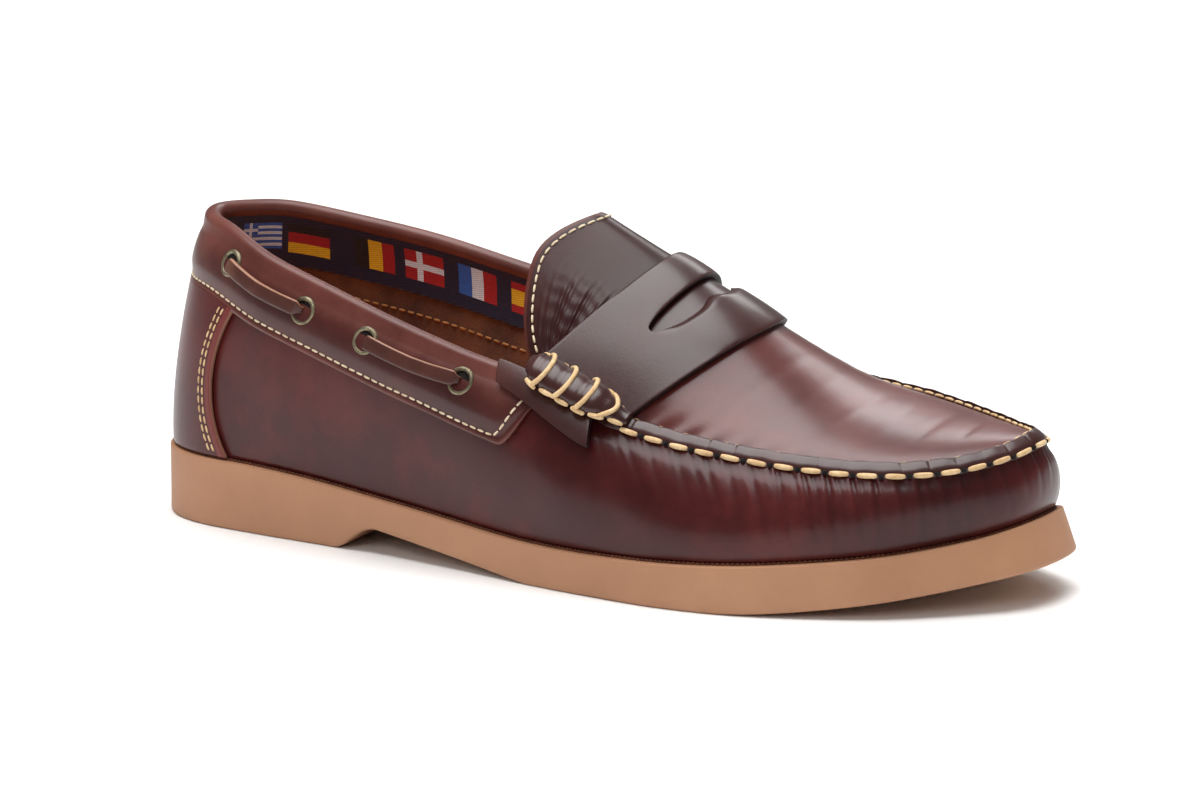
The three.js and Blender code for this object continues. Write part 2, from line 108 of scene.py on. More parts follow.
# %% Sections of the last: sole y, side, crest y, crest side, crest height, low swell, high swell
LATERAL = np.array([
    [2.3, 16.3, 6.2, 8.3, 99.8, 1.0, 4.5],
    [7.3, 25.7, 10.2, 15.9, 98.1, 1.7, 6.0],
    [15.2, 30.2, 16.4, 23.5, 91.6, 2.6, 7.5],
    [24.4, 33.7, 24.6, 27.9, 84.1, 3.0, 8.5],
    [33.1, 37.8, 32.6, 31.7, 76.9, 3.2, 9.0],
    [41.9, 42.6, 40.8, 35.3, 70.5, 4.2, 9.5],
    [49.9, 47.8, 48.4, 38.0, 65.2, 4.8, 9.5],
    [57.8, 52.0, 56.1, 40.3, 56.2, 4.2, 10.5],
    [65.8, 54.9, 64.1, 40.8, 50.5, 3.2, 10.0],
    [73.7, 53.9, 72.3, 40.0, 47.3, 3.4, 9.5],
    [81.0, 48.4, 80.3, 37.0, 45.3, 3.4, 8.5],
    [87.9, 40.4, 87.2, 31.6, 44.7, 3.4, 7.5],
    [93.9, 28.0, 92.2, 21.8, 45.7, 3.4, 6.5],
    [98.7, 14.0, 95.5, 11.0, 48.2, 3.2, 5.5],
])
MEDIAL = np.array([
    [2.3, 16.3, 6.3, 9.1, 100.6, 1.0, 4.5],
    [7.3, 25.7, 9.6, 17.8, 99.3, 1.7, 6.0],
    [15.2, 30.3, 16.0, 25.5, 94.6, 2.6, 6.5],
    [24.4, 29.3, 24.4, 30.0, 89.3, 4.4, 6.0],
    [33.1, 27.2, 32.7, 33.6, 82.4, 6.5, 5.0],
    [41.9, 27.7, 40.9, 36.5, 75.7, 7.0, 5.0],
    [49.9, 32.2, 48.9, 37.9, 69.4, 6.0, 6.0],
    [57.8, 38.4, 56.1, 37.0, 59.5, 4.8, 7.0],
    [65.8, 43.9, 64.1, 39.0, 55.0, 3.4, 7.5],
    [73.7, 44.8, 72.3, 37.6, 52.4, 3.4, 8.0],
    [81.0, 40.9, 80.3, 33.4, 50.5, 3.4, 7.5],
    [87.9, 34.9, 87.2, 26.3, 48.6, 3.4, 7.0],
    [93.9, 26.8, 92.2, 17.3, 48.2, 3.4, 6.0],
    [98.7, 15.3, 95.6, 8.0, 49.2, 3.2, 5.5],
])
HEEL = np.array([[0, 0, 4.7, 0, 100.8, 0.9, 3.9]])
TOE = np.array([[100, -1.5, 96.8, 1.0, 50.6, 3.0, 5.0]])
MIRROR = np.array([1, -1, 1, -1, 1, 1, 1])
RING = np.vstack([HEEL, LATERAL, TOE, MEDIAL[::-1] * MIRROR])
ROUND = len(RING)
TOE_SECTION = ROUND // 2
SCALES = np.array([LENGTH, BALL_WIDTH, LENGTH, BALL_WIDTH, BACK_HEIGHT, BALL_WIDTH, BALL_WIDTH])
NAMES = ["y", "x", "topY", "topX", "topZ", "low", "swell"]
COLUMNS = dict(zip(NAMES, (RING * SCALES / 100).T))
print("sections round the last:", ROUND)

# %% Crown of the instep, and the sole's top edge
CROWN = np.array([
    [6, 50.6, 110.0, 1.5], [7, 57.1, 100.8, 1.6], [8, 64.7, 87.2, 2.0], [9, 71.3, 72.6, 2.3],
    [10, 77.8, 61.5, 2.4], [11, 83.9, 56.6, 2.4], [12, 89.2, 54.6, 2.3], [13, 93.4, 53.8, 2.2],
    [14, 95.9, 53.3, 2.2], [15, 96.8, 52.5, 2.2],
])
SOLE_TOP = np.array([
    [0, 21.2], [17, 20.4], [34, 16.2], [50, 12.4], [67, 13.2], [84, 16.8], [94, 21.2], [100, 26.6],
])
TOE_FLARE = 4.0
FLARE_FROM = 0.57 * LENGTH
BREAST_FOOT = 0.252 * LENGTH
BREAST_TOP = 0.308 * LENGTH
BREAST_RISE = 7.6
WAIST_END = 0.5 * LENGTH
SPRING_FROM = 0.71 * LENGTH
TOE_SPRING = 12.0
HEEL_ROUND = 2.5
print("crown sections:", len(CROWN), "points on the sole's top edge:", len(SOLE_TOP))

# %% [markdown]
# Between two sections a smooth curve is read from the tables, so a section can be a number such as
# 7.5, half way from 7 to 8. Round the last the curve is closed: from the heel down the lateral
# side, round the toe at section 15, and back up the medial side.


# %% Smooth curves through the tables
def smooth(low, high, at):
    share = np.clip((at - low) / (high - low), 0, 1)
    return share * share * (3 - 2 * share)


def unit(vectors):
    return vectors / np.linalg.norm(vectors, axis=-1, keepdims=True)


def through(values, at):
    count = len(values)
    whole = np.floor(at).astype(int)
    f = at - whole
    a, b, c, d = (values[(whole + step) % count] for step in (-1, 0, 1, 2))
    return b + 0.5 * f * (c - a + f * (2 * a - 5 * b + 4 * c - d + f * (3 * (b - c) + d - a)))


def read(rows, column, at):
    keys, values = rows[:, 0], rows[:, column]
    i = np.clip(np.searchsorted(keys[1:], at), 0, len(keys) - 2)
    order = np.arange(len(keys))
    before, after = np.maximum(order - 1, 0), np.minimum(order + 1, len(keys) - 1)
    slope = (values[after] - values[before]) / (keys[after] - keys[before])
    span = keys[i + 1] - keys[i]
    f = np.clip((at - keys[i]) / span, 0, 1)
    h = f * f * (3 - 2 * f)
    bend = slope[i] * f * (1 - f) ** 2 - slope[i + 1] * f * f * (1 - f)
    return values[i] * (1 - h) + values[i + 1] * h + span * bend


def ring(name, k):
    return through(COLUMNS[name], k)


def opposite(k):
    return ROUND - k


def from_heel(k):
    return np.minimum(k, opposite(k))


print("half the sole's width at the ball:", ring("x", np.array([9.0])).round(1), "mm")

# %% [markdown]
# The wall of the shoe rises from the sole's edge. At each section it is one Bezier curve: the foot
# on the sole, two points that make it swell, and the top edge. Its two directions, up the leather
# and out of it, place everything that is sewn on.


# %% The sole's edge
def outward(k):
    dx = ring("x", k + 0.05) - ring("x", k - 0.05)
    dy = ring("y", k + 0.05) - ring("y", k - 0.05)
    return unit(np.stack([dy, -dx, 0 * dx], -1))


def edge(k, inset):
    flat = np.stack([ring("x", k), ring("y", k), 0 * k], -1)
    return flat - outward(k) * np.reshape(inset, (-1, 1))


def flare(y):
    return TOE_FLARE * np.clip((y - FLARE_FROM) / (LENGTH - FLARE_FROM), 0, 1) ** 2


def sole_top(y):
    return read(SOLE_TOP, 1, 100 * y / LENGTH)


print("top edge of the sole at the waist:", sole_top(WAIST_END).round(1), "mm")

# %% The side wall, a curve from the sole to the collar or the toe seam
BEND_LOW = 0.32
BEND_HIGH = 0.2


def wall_curve(k):
    out = outward(k)
    foot = edge(k, LEDGE + flare(ring("y", k)))
    foot[:, 2] = sole_top(foot[:, 1]) + GAP
    top = np.stack([ring("topX", k), ring("topY", k), ring("topZ", k)], -1)
    tall = (top - foot)[:, 2]
    low = foot + out * ring("low", k)[:, None]
    low[:, 2] += BEND_LOW * tall
    high = top + out * ring("swell", k)[:, None]
    high[:, 2] -= BEND_HIGH * tall
    return foot, low, high, top


def on_curve(controls, h):
    a, b, c, d = controls
    h = h[:, None]
    return a * (1 - h) ** 3 + 3 * b * h * (1 - h) ** 2 + 3 * c * h * h * (1 - h) + d * h**3


def wall_frame(k, h):
    k, h = np.broadcast_arrays(np.asarray(k, float), np.asarray(h, float))
    a, b, c, d = controls = wall_curve(k)
    t = h[:, None]
    up = unit((b - a) * (1 - t) ** 2 + 2 * (c - b) * t * (1 - t) + (d - c) * t * t)
    along = on_curve(wall_curve(k + 0.04), h) - on_curve(wall_curve(k - 0.04), h)
    return on_curve(controls, h), up, unit(np.cross(along, up))


# %% [markdown]
# Seams and trims lie a fixed distance below the top edge, measured along the leather with a tape.
# A table of those distances, made once, turns any depth into a place on the wall.

# %% Depth below the top edge
PER_SECTION = 40
MARKS = 64
tape_k = np.linspace(0, ROUND, ROUND * PER_SECTION + 1)
marks = np.linspace(0, 1, MARKS + 1)
tape_points = np.stack([on_curve(wall_curve(tape_k), np.full(len(tape_k), h)) for h in marks], 1)
tape_steps = np.linalg.norm(np.diff(tape_points, axis=1), axis=2)
TAPE = np.hstack([np.cumsum(tape_steps[:, ::-1], 1)[:, ::-1], np.zeros((len(tape_k), 1))])


def tape_at(k):
    place = np.mod(k, ROUND) * PER_SECTION
    i = np.minimum(place.astype(int), len(TAPE) - 2)
    f = (place - i)[:, None]
    return TAPE[i] * (1 - f) + TAPE[i + 1] * f


def below(k, depth):
    k, depth = np.broadcast_arrays(np.asarray(k, float), np.asarray(depth, float))
    rows = tape_at(k)
    j = np.clip((rows > depth[:, None]).sum(1), 1, MARKS)
    pick = np.arange(len(k))
    high, low = rows[pick, j - 1], rows[pick, j]
    return np.clip((j - 1 + (high - depth) / np.maximum(high - low, 1e-9)) / MARKS, 0, 1)


def on_wall(k, depth, lift):
    point, up, out = wall_frame(k, below(k, depth))
    return point + out * np.reshape(lift, (-1, 1))


toe_wall = TAPE[TOE_SECTION * PER_SECTION, 0]
print("wall at the heel", TAPE[0, 0].round(1), "mm, at the toe", toe_wall.round(1), "mm")


# %% [markdown]
# Over the toes and the instep the leather is a vault. It is a row of arched ribs from one side's top
# edge to the other's, each with its own crown height and fullness.


# %% The instep
def rib(k, across):
    sides = [(ring(name, k), ring(name, opposite(k))) for name in ("topX", "topY", "topZ")]
    x, y, z = [((a + b) / 2, (a - b) / 2) for a, b in sides]
    arch = 1 - np.hypot(across, 0.12) ** read(CROWN, 3, k)
    crown_y = read(CROWN, 1, k) * LENGTH / 100
    crown_z = read(CROWN, 2, k) * INSTEP_HEIGHT / 100
    return np.stack([
        x[0] + across * x[1],
        y[0] + across * y[1] + (crown_y - y[0]) * arch,
        z[0] + across * z[1] + (crown_z - z[0]) * arch,
    ], -1)


def instep_out(k, across):
    along = rib(k + 0.03, across) - rib(k - 0.03, across)
    sideways = rib(k, across + 0.03) - rib(k, across - 0.03)
    return unit(np.cross(sideways, along))


def on_instep(k, across, lift):
    return rib(k, across) + instep_out(k, across) * np.reshape(lift, (-1, 1))


under_strap = rib(np.array([8.0]), np.array([0.0]))[0]
print("instep under the strap:", under_strap.round(1))


# %% Distance along the toe seam, from the toe, positive on the lateral side
def run_along(points):
    steps = np.linalg.norm(np.diff(points, axis=0), axis=1)
    return np.concatenate([[0], np.cumsum(steps)])


SEAM_FROM = 8.1
SEAM_TO = opposite(SEAM_FROM)
SEAM_K = np.linspace(6, opposite(6), 1801)
seam_run = run_along(wall_curve(SEAM_K)[3])
SEAM_S = np.interp(TOE_SECTION, SEAM_K, seam_run) - seam_run


def seam_mm(k):
    return np.interp(k, SEAM_K, SEAM_S)


print("length of the toe seam:", round(seam_mm(SEAM_FROM) - seam_mm(SEAM_TO)), "mm")

# %% [markdown]
# ## Making a piece
# Every leather part starts as a flat grid, like a piece cut from the hide, and is laid on the last
# by moving its points. A Solidify modifier gives it its thickness and a Bevel its rounded edges,
# so the cut edge can have its own paler material.


# %% Laying a grid on a surface
def lay(bm, surface, us, vs, turn=False, wear_and_painted_light=None):
    layer = bm.verts.layers.float.get("wear_and_painted_light") or bm.verts.layers.float.new("wear_and_painted_light")
    made = bmesh.ops.create_grid(bm, x_segments=len(us) - 1, y_segments=len(vs) - 1, size=1)
    flat = np.array([vert.co for vert in made["verts"]])
    column = np.rint((flat[:, 0] + 1) / 2 * (len(us) - 1)).astype(int)
    row = np.rint((flat[:, 1] + 1) / 2 * (len(vs) - 1)).astype(int)
    u, v = us[column], vs[row]
    for vert, point in zip(made["verts"], to_frame(surface(u, v))):
        vert.co = point
    faces = list({face for vert in made["verts"] for face in vert.link_faces})
    if turn:
        bmesh.ops.reverse_faces(bm, faces=faces)
    if wear_and_painted_light:
        for vert, value in zip(made["verts"], wear_and_painted_light(u, v)):
            vert[layer] = value
    return u, v


def weld(bm, distance=0.00002):
    bmesh.ops.remove_doubles(bm, verts=bm.verts[:], dist=distance)
    bmesh.ops.dissolve_degenerate(bm, edges=bm.edges[:], dist=distance / 4)


def close(bm):
    rims = [rim for rim in bm.edges if rim.is_boundary]
    bmesh.ops.holes_fill(bm, edges=rims)
    bmesh.ops.recalc_face_normals(bm, faces=bm.faces[:])


# %% Turning a mesh into a named piece
def piece(name, bm, materials, stands_for=(), thick=0, bevel=0):
    mesh = bpy.data.meshes.new(name)
    bm.to_mesh(mesh)
    bm.free()
    for material in materials:
        mesh.materials.append(material)
    mesh.polygons.foreach_set("use_smooth", [True] * len(mesh.polygons))
    made = bpy.data.objects.new(name, mesh)
    show(made)
    if thick:
        wall = made.modifiers.new("thickness", "SOLIDIFY")
        wall.thickness = thick / 1000
        wall.offset = -1
        wall.material_offset = min(1, len(materials) - 1)
        wall.material_offset_rim = len(materials) - 1
    if bevel:
        rounding = made.modifiers.new("rounded edge", "BEVEL")
        rounding.width = bevel / 1000
        rounding.segments = 2
        rounding.limit_method = "ANGLE"
        rounding.angle_limit = math.radians(50)
    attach(made, "root")
    if stands_for:
        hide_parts(*stands_for)
    print(name, len(mesh.polygons), "faces")
    return made


# %% [markdown]
# ## Materials
# Each finish is a small node tree on a Principled shader. Three helpers keep the trees short: one
# adds a node with its inputs, one adds a share of a value to another, and one is a colour ramp.


# %% Node helpers
def add(tree, kind, inputs=None, **settings):
    made = tree.nodes.new("ShaderNode" + kind)
    for key, value in settings.items():
        setattr(made, key, value)
    for key, value in (inputs or {}).items():
        if isinstance(value, bpy.types.NodeSocket):
            tree.links.new(value, made.inputs[key])
        else:
            made.inputs[key].default_value = value
    return made


def plus_share(tree, value, share, base):
    inputs = {0: value, 1: share, 2: base}
    return add(tree, "Math", inputs, operation="MULTIPLY_ADD").outputs[0]


def linear(red, green, blue):
    return tuple((value / 255) ** 2.2 for value in (red, green, blue))


def ramp(tree, factor, stops):
    made = add(tree, "ValToRGB", {"Fac": factor})
    bands = made.color_ramp.elements
    while len(bands) < len(stops):
        bands.new(0.5)
    for band, (place, colour) in zip(bands, stops):
        band.position = place
        band.color = (*linear(*colour), 1)
    return made.outputs["Color"]


def shader(name, **constants):
    material = bpy.data.materials.new(name)
    material.use_nodes = True
    surface = material.node_tree.nodes["Principled BSDF"]
    for key, value in constants.items():
        surface.inputs[key.replace("_", " ")].default_value = value
    return material, material.node_tree, surface


# %% [markdown]
# The upper is pull-up leather: waxed, deep brown with red where it stretches, cloudy from the hand
# of the tanner, and softly glossy. A large slow noise gives the clouds, a middle one the mottling,
# and fine pores and hair lines are left to the bump. A value set on each point shifts the tone too:
# real wear and paler raw edges, and also painted shade in the pleats and under the strap and a
# painted highlight on the collar.


# %% Leather
def noise(tree, place, scale, detail, **more):
    inputs = {"Vector": place, "Scale": scale, "Detail": detail, **more}
    return add(tree, "TexNoise", inputs).outputs["Fac"]


def leather(name, dark, middle, light, rough=0.36, coat=0.3, shine=0.4, grain=0.05):
    material, tree, surface = shader(
        name, Coat_Weight=coat, Coat_Roughness=0.2, Specular_IOR_Level=shine
    )
    place = add(tree, "TexCoord").outputs["Object"]
    clouds = noise(tree, place, 13.0, 3.0, Distortion=0.6)
    mottle = noise(tree, place, 75.0, 5.0, Roughness=0.62)
    # per-point tone shift: real wear and raw edges, plus painted shade and painted highlight
    worn_and_painted_light = add(tree, "Attribute", attribute_name="wear_and_painted_light").outputs["Fac"]
    tone = plus_share(tree, clouds, 0.62, 0.0)
    tone = plus_share(tree, mottle, 0.38, tone)
    tone = plus_share(tree, worn_and_painted_light, 0.22, tone)
    colour = ramp(tree, tone, [(0.22, dark), (0.5, middle), (0.88, light)])
    tree.links.new(colour, surface.inputs["Base Color"])
    limits = {"To Min": rough - 0.07, "To Max": rough + 0.09}
    gloss = add(tree, "MapRange", {"Value": mottle, **limits})
    tree.links.new(gloss.outputs["Result"], surface.inputs["Roughness"])
    pores = add(tree, "TexVoronoi", {"Vector": place, "Scale": 1150.0}).outputs["Distance"]
    hair = noise(tree, place, 480.0, 4.0, Roughness=0.7)
    fine = plus_share(tree, pores, 0.5, hair)
    bump = add(tree, "Bump", {"Height": fine, "Strength": grain, "Distance": 0.0006})
    soft = noise(tree, place, 42.0, 2.0)
    slow = {"Height": soft, "Strength": 0.12, "Distance": 0.0018}
    hand = add(tree, "Bump", {**slow, "Normal": bump.outputs["Normal"]})
    tree.links.new(hand.outputs["Normal"], surface.inputs["Normal"])
    return material


BURGUNDY = leather(
    "burgundy_leather", (37, 12, 13), (66, 25, 25), (108, 46, 42), coat=0.2, shine=0.24
)
PLUG = leather("plug_leather", (51, 20, 19), (84, 38, 34), (122, 63, 55), rough=0.33)
STRAP_BROWN = leather("strap_leather", (38, 18, 17), (58, 30, 27), (92, 52, 45), rough=0.34)
TONGUE_BROWN = leather(
    "tongue_leather", (32, 15, 15), (52, 26, 24), (90, 48, 42), coat=0.08, shine=0.28
)
COLLAR = leather(
    "collar_leather", (42, 17, 16), (68, 31, 28), (110, 62, 53), rough=0.4, coat=0.15
)
THONG_BROWN = leather("thong_leather", (48, 24, 20), (72, 38, 31), (150, 108, 84), rough=0.45)
CUT_EDGE = leather("cut_edge", (66, 40, 34), (98, 62, 52), (132, 90, 74), rough=0.7, coat=0.0)
DARK_EDGE = leather("dark_edge", (24, 11, 10), (38, 19, 16), (58, 32, 26), rough=0.6, coat=0.0)
print("leathers from", BURGUNDY.name, "to", DARK_EDGE.name)

# %% [markdown]
# Suede, rubber, thread and metal need less: two tones clouded by one noise, and a finer noise for
# the nap or the grain as a bump. One function makes them all from two colours and a scale.


# %% Suede, footbed and rubber
def plain(name, dark, light, rough, scale, grain, distance=0.0006, **constants):
    material, tree, surface = shader(name, Roughness=rough, **constants)
    place = add(tree, "TexCoord").outputs["Object"]
    clouds = noise(tree, place, scale, 5.0, Roughness=0.6)
    fine = noise(tree, place, scale * 22, 3.0)
    colour = ramp(tree, clouds, [(0.32, dark), (0.68, light)])
    tree.links.new(colour, surface.inputs["Base Color"])
    bump = add(tree, "Bump", {"Height": fine, "Strength": grain, "Distance": distance})
    tree.links.new(bump.outputs["Normal"], surface.inputs["Normal"])
    return material


SUEDE = plain("lining_suede", (66, 34, 18), (108, 62, 34), 0.95, 60.0, 0.6, Sheen_Weight=0.4)
FOOTBED = plain("footbed_leather", (186, 84, 26), (222, 120, 46), 0.48, 34.0, 0.35, 0.001)
RUBBER = plain("sole_rubber", (162, 117, 88), (176, 129, 98), 0.6, 22.0, 0.15, 0.0005)
CREAM = plain("cream_thread", (196, 158, 112), (228, 196, 150), 0.6, 300.0, 0.5, 0.0003)
WHITE = plain("pale_thread", (206, 182, 148), (232, 214, 184), 0.6, 300.0, 0.5, 0.0003)
TAN = plain("tan_thread", (150, 100, 56), (180, 128, 78), 0.7, 300.0, 0.5, 0.0003)
WELT = plain("welt_edge", (74, 40, 26), (104, 62, 42), 0.7, 200.0, 0.4)
# near-black material: painted shade for the insides of holes
HOLE_SHADE = plain("shadowed_hole", (14, 7, 6), (22, 11, 9), 0.9, 50.0, 0.1)
BRASS = plain("aged_brass", (96, 88, 70), (158, 148, 122), 0.34, 260.0, 0.3, Metallic=0.9)
print("materials:", len(bpy.data.materials))

# %% [markdown]
# ## Outsole
# The sole is one moulding in caramel rubber with a shallow heel, an arch and an upswept toe. It is
# swept as a closed section from the heel to the toe: along the tread, round the lower edge, up the
# side, which leans out at the toe, and back over the top.


# %% Height of the tread
def tread(y):
    t = np.linspace(0, 1, 30)
    first, second, third = 3 * t * (1 - t) ** 2, 3 * t * t * (1 - t), t**3
    long = BREAST_TOP - BREAST_FOOT
    breast_y = BREAST_FOOT + 6 * first + (long - 8) * second + long * third
    breast_z = BREAST_RISE * (second + third)
    ys = np.concatenate([[0, BREAST_FOOT - 0.1], breast_y, [WAIST_END]])
    zs = np.concatenate([[0, 0], breast_z, [0]])
    toe = TOE_SPRING * np.clip((y - SPRING_FROM) / (LENGTH - SPRING_FROM), 0, 1) ** 1.6
    heel = HEEL_ROUND * np.clip(1 - y / HEEL_ROUND, 0, 1) ** 2
    return np.interp(y, ys, zs) + toe + heel


print("tread under the toe's tip:", tread(LENGTH).round(1), "mm above the floor")

# %% Section of the sole: share across, inset, and height from the tread to the top edge
EDGE_ROUND = 1.1
TOP_ROUND = 0.7
angles = np.radians([0, 22.5, 45, 67.5, 90])
levels = np.linspace(0, 1, 9)[1:-1]
tread_rows = [(share, EDGE_ROUND, 0, 0) for share in (0, 0.3, 0.6, 0.85)]
low_round = [(1, EDGE_ROUND * (1 - math.sin(a)), EDGE_ROUND * (1 - math.cos(a)), 0) for a in angles]
side_rows = [(1, 0, EDGE_ROUND * (1 - level) - TOP_ROUND * level, level) for level in levels]
top_round = [(1, TOP_ROUND * (1 - math.cos(a)), TOP_ROUND * (math.sin(a) - 1), 1) for a in angles]
top_rows = [(share, TOP_ROUND, 0, 1) for share in (0.85, 0.5, 0)]
half = np.array(tread_rows + low_round + side_rows + top_round + top_rows)
other_half = half[-2:0:-1]
SOLE_LOOP = np.vstack([
    np.c_[half, np.ones(len(half))],
    np.c_[other_half, -np.ones(len(other_half))],
])
print("points round the sole's section:", len(SOLE_LOOP))


def sole_surface(t, row):
    share, inset, rise, level, side = SOLE_LOOP[row.astype(int) % len(SOLE_LOOP)].T
    k = np.where(side > 0, t, opposite(t))
    lean = flare(ring("y", k)) * level
    point, other = edge(k, inset + lean), edge(opposite(k), inset + lean)
    middle = (point + other) / 2
    point = middle + (point - middle) * share[:, None]
    low, high = tread(point[:, 1]), sole_top(point[:, 1])
    point[:, 2] = np.where(level > 0, high, low) + rise
    between = (level > 0) & (level < 1)
    flank = low + EDGE_ROUND + (high - low - EDGE_ROUND - TOP_ROUND) * level
    point[:, 2] = np.where(between, flank, point[:, 2])
    return point


bm = bmesh.new()
lay(bm, sole_surface, np.linspace(0, TOE_SECTION, 301), np.arange(len(SOLE_LOOP) + 1.0))
weld(bm)
bmesh.ops.recalc_face_normals(bm, faces=bm.faces[:])
piece("sole", bm, [RUBBER], ["outsole"])

# %% [markdown]
# ## Stitches
# A stitch is one small bead, rounded at both ends and sunk into the leather. It is shaped once from
# a sphere and set down along a path at an even pitch, as a row of thread lies on a seam.

# %% One bead of thread
bm = bmesh.new()
bmesh.ops.create_uvsphere(bm, u_segments=8, v_segments=7, radius=0.5)
for vert in bm.verts:
    x, y, z = vert.co
    full = min(1.0, math.hypot(x, y) * 2) ** 0.45
    scale = full / max(1e-6, math.hypot(x, y) * 2)
    vert.co = (x * scale, y * scale - 0.7 * z * z, z)
BEAD = bpy.data.meshes.new("bead")
bm.to_mesh(BEAD)
bm.free()
print("faces on a bead of thread:", len(BEAD.polygons))


# %% Setting beads down
def spaced(path, start, end, pitch):
    fine = np.linspace(start, end, 1500)
    run = run_along(path(fine)[0])
    count = max(1, round(run[-1] / pitch))
    return np.interp((np.arange(count) + 0.5) * run[-1] / count, run, fine)


def set_beads(bm, points, along, out, length, width, high=None):
    along = unit(along)
    side = unit(np.cross(out, along))
    out = np.cross(along, side)
    high = high or width
    for point, a, b, c in zip(to_frame(points), side, out, along):
        axes = np.stack([a * width, b * high, c * length], 1) * HALF_TURN[:, None] / 1000
        before = len(bm.verts)
        bm.from_mesh(BEAD)
        bm.verts.ensure_lookup_table()
        matrix = Matrix(axes.tolist()).to_4x4()
        matrix.translation = point
        bmesh.ops.transform(bm, matrix=matrix, verts=bm.verts[before:])


def stitch_row(bm, path, start, end, pitch, length, width, high=None):
    at = spaced(path, start, end, pitch)
    points, out = path(at)
    step = 0.01 * np.sign(end - start)
    along = unit(path(at + step)[0] - path(at - step)[0])
    wobble = 0.045 * np.sin(7.3 * np.arange(len(at)))[:, None]
    along = along + wobble * np.cross(out, along)
    set_beads(bm, points, along, out, length, width, high)


# %% [markdown]
# Between the sole and the leather runs a fine ribbed line, the edge of the welt. It could be a
# textured cord, but the same bead set down at a close pitch gives it real ribs.


# %% Welt
def welt_path(k):
    inset = LEDGE - 0.4 + flare(ring("y", k))
    point = edge(k, inset)
    point[:, 2] = sole_top(point[:, 1]) + 0.25
    return point, unit(outward(k) + [0, 0, 1.0])


bm = bmesh.new()
stitch_row(bm, welt_path, 0.02, ROUND + 0.02, 1.5, 1.5, 1.0)
piece("welt", bm, [WELT])

# %% [markdown]
# ## Quarters and vamp
# One length of leather goes round the shoe from heel to heel. Where it is drawn in to meet the
# smaller plug over the toes it has too much length, and the surplus gathers into pleats that start
# at the seam and fade down the side. The main ones are listed one by one: distance along the seam
# from the toe, reach, slant, depth and width.

# %% Pleats: along the seam, reach, slant, depth, width
PLEATS = np.array([
    [139, 24, 0.55, 0.35, 2.6], [131, 28, 0.60, 0.45, 2.8], [122, 26, 0.50, 0.40, 2.4],
    [113, 24, 0.42, 0.45, 2.6], [105, 26, 0.45, 0.55, 2.4], [97, 24, 0.38, 0.60, 2.6],
    [90, 28, 0.42, 0.75, 2.4], [82, 30, 0.34, 0.90, 2.5], [75, 27, 0.38, 1.00, 2.2],
    [68, 31, 0.30, 1.05, 2.4], [61, 26, 0.34, 1.10, 2.1], [54, 29, 0.24, 1.05, 2.3],
    [48, 22, 0.28, 0.95, 1.9], [42, 26, 0.20, 0.95, 2.1], [35, 21, 0.24, 0.85, 1.9],
    [29, 23, 0.14, 0.80, 1.9], [23, 18, 0.12, 0.75, 1.7], [17, 21, 0.08, 0.70, 1.8],
    [11, 17, 0.05, 0.70, 1.6], [5, 19, 0.00, 0.65, 1.7], [-1, 16, -0.05, 0.70, 1.6],
    [-7, 20, -0.08, 0.75, 1.7], [-13, 18, -0.10, 0.80, 1.7], [-20, 24, -0.16, 0.90, 1.9],
    [-27, 22, -0.20, 0.95, 1.9], [-34, 28, -0.26, 1.05, 2.1], [-42, 26, -0.30, 1.05, 2.2],
    [-50, 32, -0.40, 1.15, 2.3], [-58, 30, -0.48, 1.15, 2.3], [-67, 36, -0.55, 1.15, 2.4],
    [-75, 33, -0.62, 1.10, 2.4], [-83, 37, -0.70, 1.05, 2.5], [-91, 34, -0.66, 0.95, 2.5],
    [-100, 36, -0.74, 0.90, 2.6], [-109, 32, -0.70, 0.75, 2.6], [-118, 34, -0.74, 0.70, 2.7],
    [-127, 28, -0.64, 0.55, 2.7], [-136, 26, -0.60, 0.45, 2.6],
])
SHORT_PLEATS = PLEATS * [1, 0.66, 1.12, 0.62, 0.75] + [3.4, 0, 0.04, 0, 0]
ALL_PLEATS = np.vstack([PLEATS, SHORT_PLEATS])
STITCH_PITCH = 8.2
print("pleats round the toe:", len(ALL_PLEATS))


def pleat_lift(k, depth):
    s = seam_mm(k)
    total = np.zeros(len(k))
    for place, reach, slant, deep, width in ALL_PLEATS:
        off = s - place - 0.8 * np.sin(place) + slant * depth
        off = off / (width * (0.26 + depth / reach * 0.42))
        near = np.clip(1 - depth / reach, 0, 1) ** 0.8 * smooth(0.5, 4.0, depth)
        total += 0.46 * deep * near * (-np.exp(-off * off) + 0.45 * np.exp(-((off - 1.9) ** 2)))
    tuck = 0.2 * np.cos(2 * np.pi * s / STITCH_PITCH) * np.exp(-((depth / 4.5) ** 2))
    drawn = -0.35 * np.exp(-((depth - 5.2) / 2.2) ** 2)
    return (total + tuck + drawn) * smooth(7.9, 8.6, from_heel(k))


# %% Long soft folds under the rolls and behind the ball: section, width, depth, height, rise
SOFT_FOLDS = [
    [7.6, 0.35, 30, 12, 0.5], [8.5, 0.28, 34, 10, -0.5], [9.3, 0.3, 30, 12, 0.35],
    [5.6, 0.5, 40, 14, -0.4], [22.4, 0.35, 30, 12, 0.5], [21.4, 0.3, 34, 10, -0.5],
    [3.6, 0.5, 42, 12, 0.35], [26.2, 0.6, 42, 12, 0.3], [24.2, 0.5, 36, 12, -0.35],
]


def side_lift(k, depth):
    total = np.zeros(len(k))
    for at, wide, deep, tall, rise in SOFT_FOLDS:
        total += rise * np.exp(-((k - at) / wide) ** 2 - ((depth - deep) / tall) ** 2)
    return total


print("soft folds:", len(SOFT_FOLDS))


# %% Wall of the upper
def wall_top(k):
    share = smooth(7.55, 8.14, from_heel(k))
    return (2 * ROLL_RADIUS + 3 * GAP) * (1 - share) + 0.01


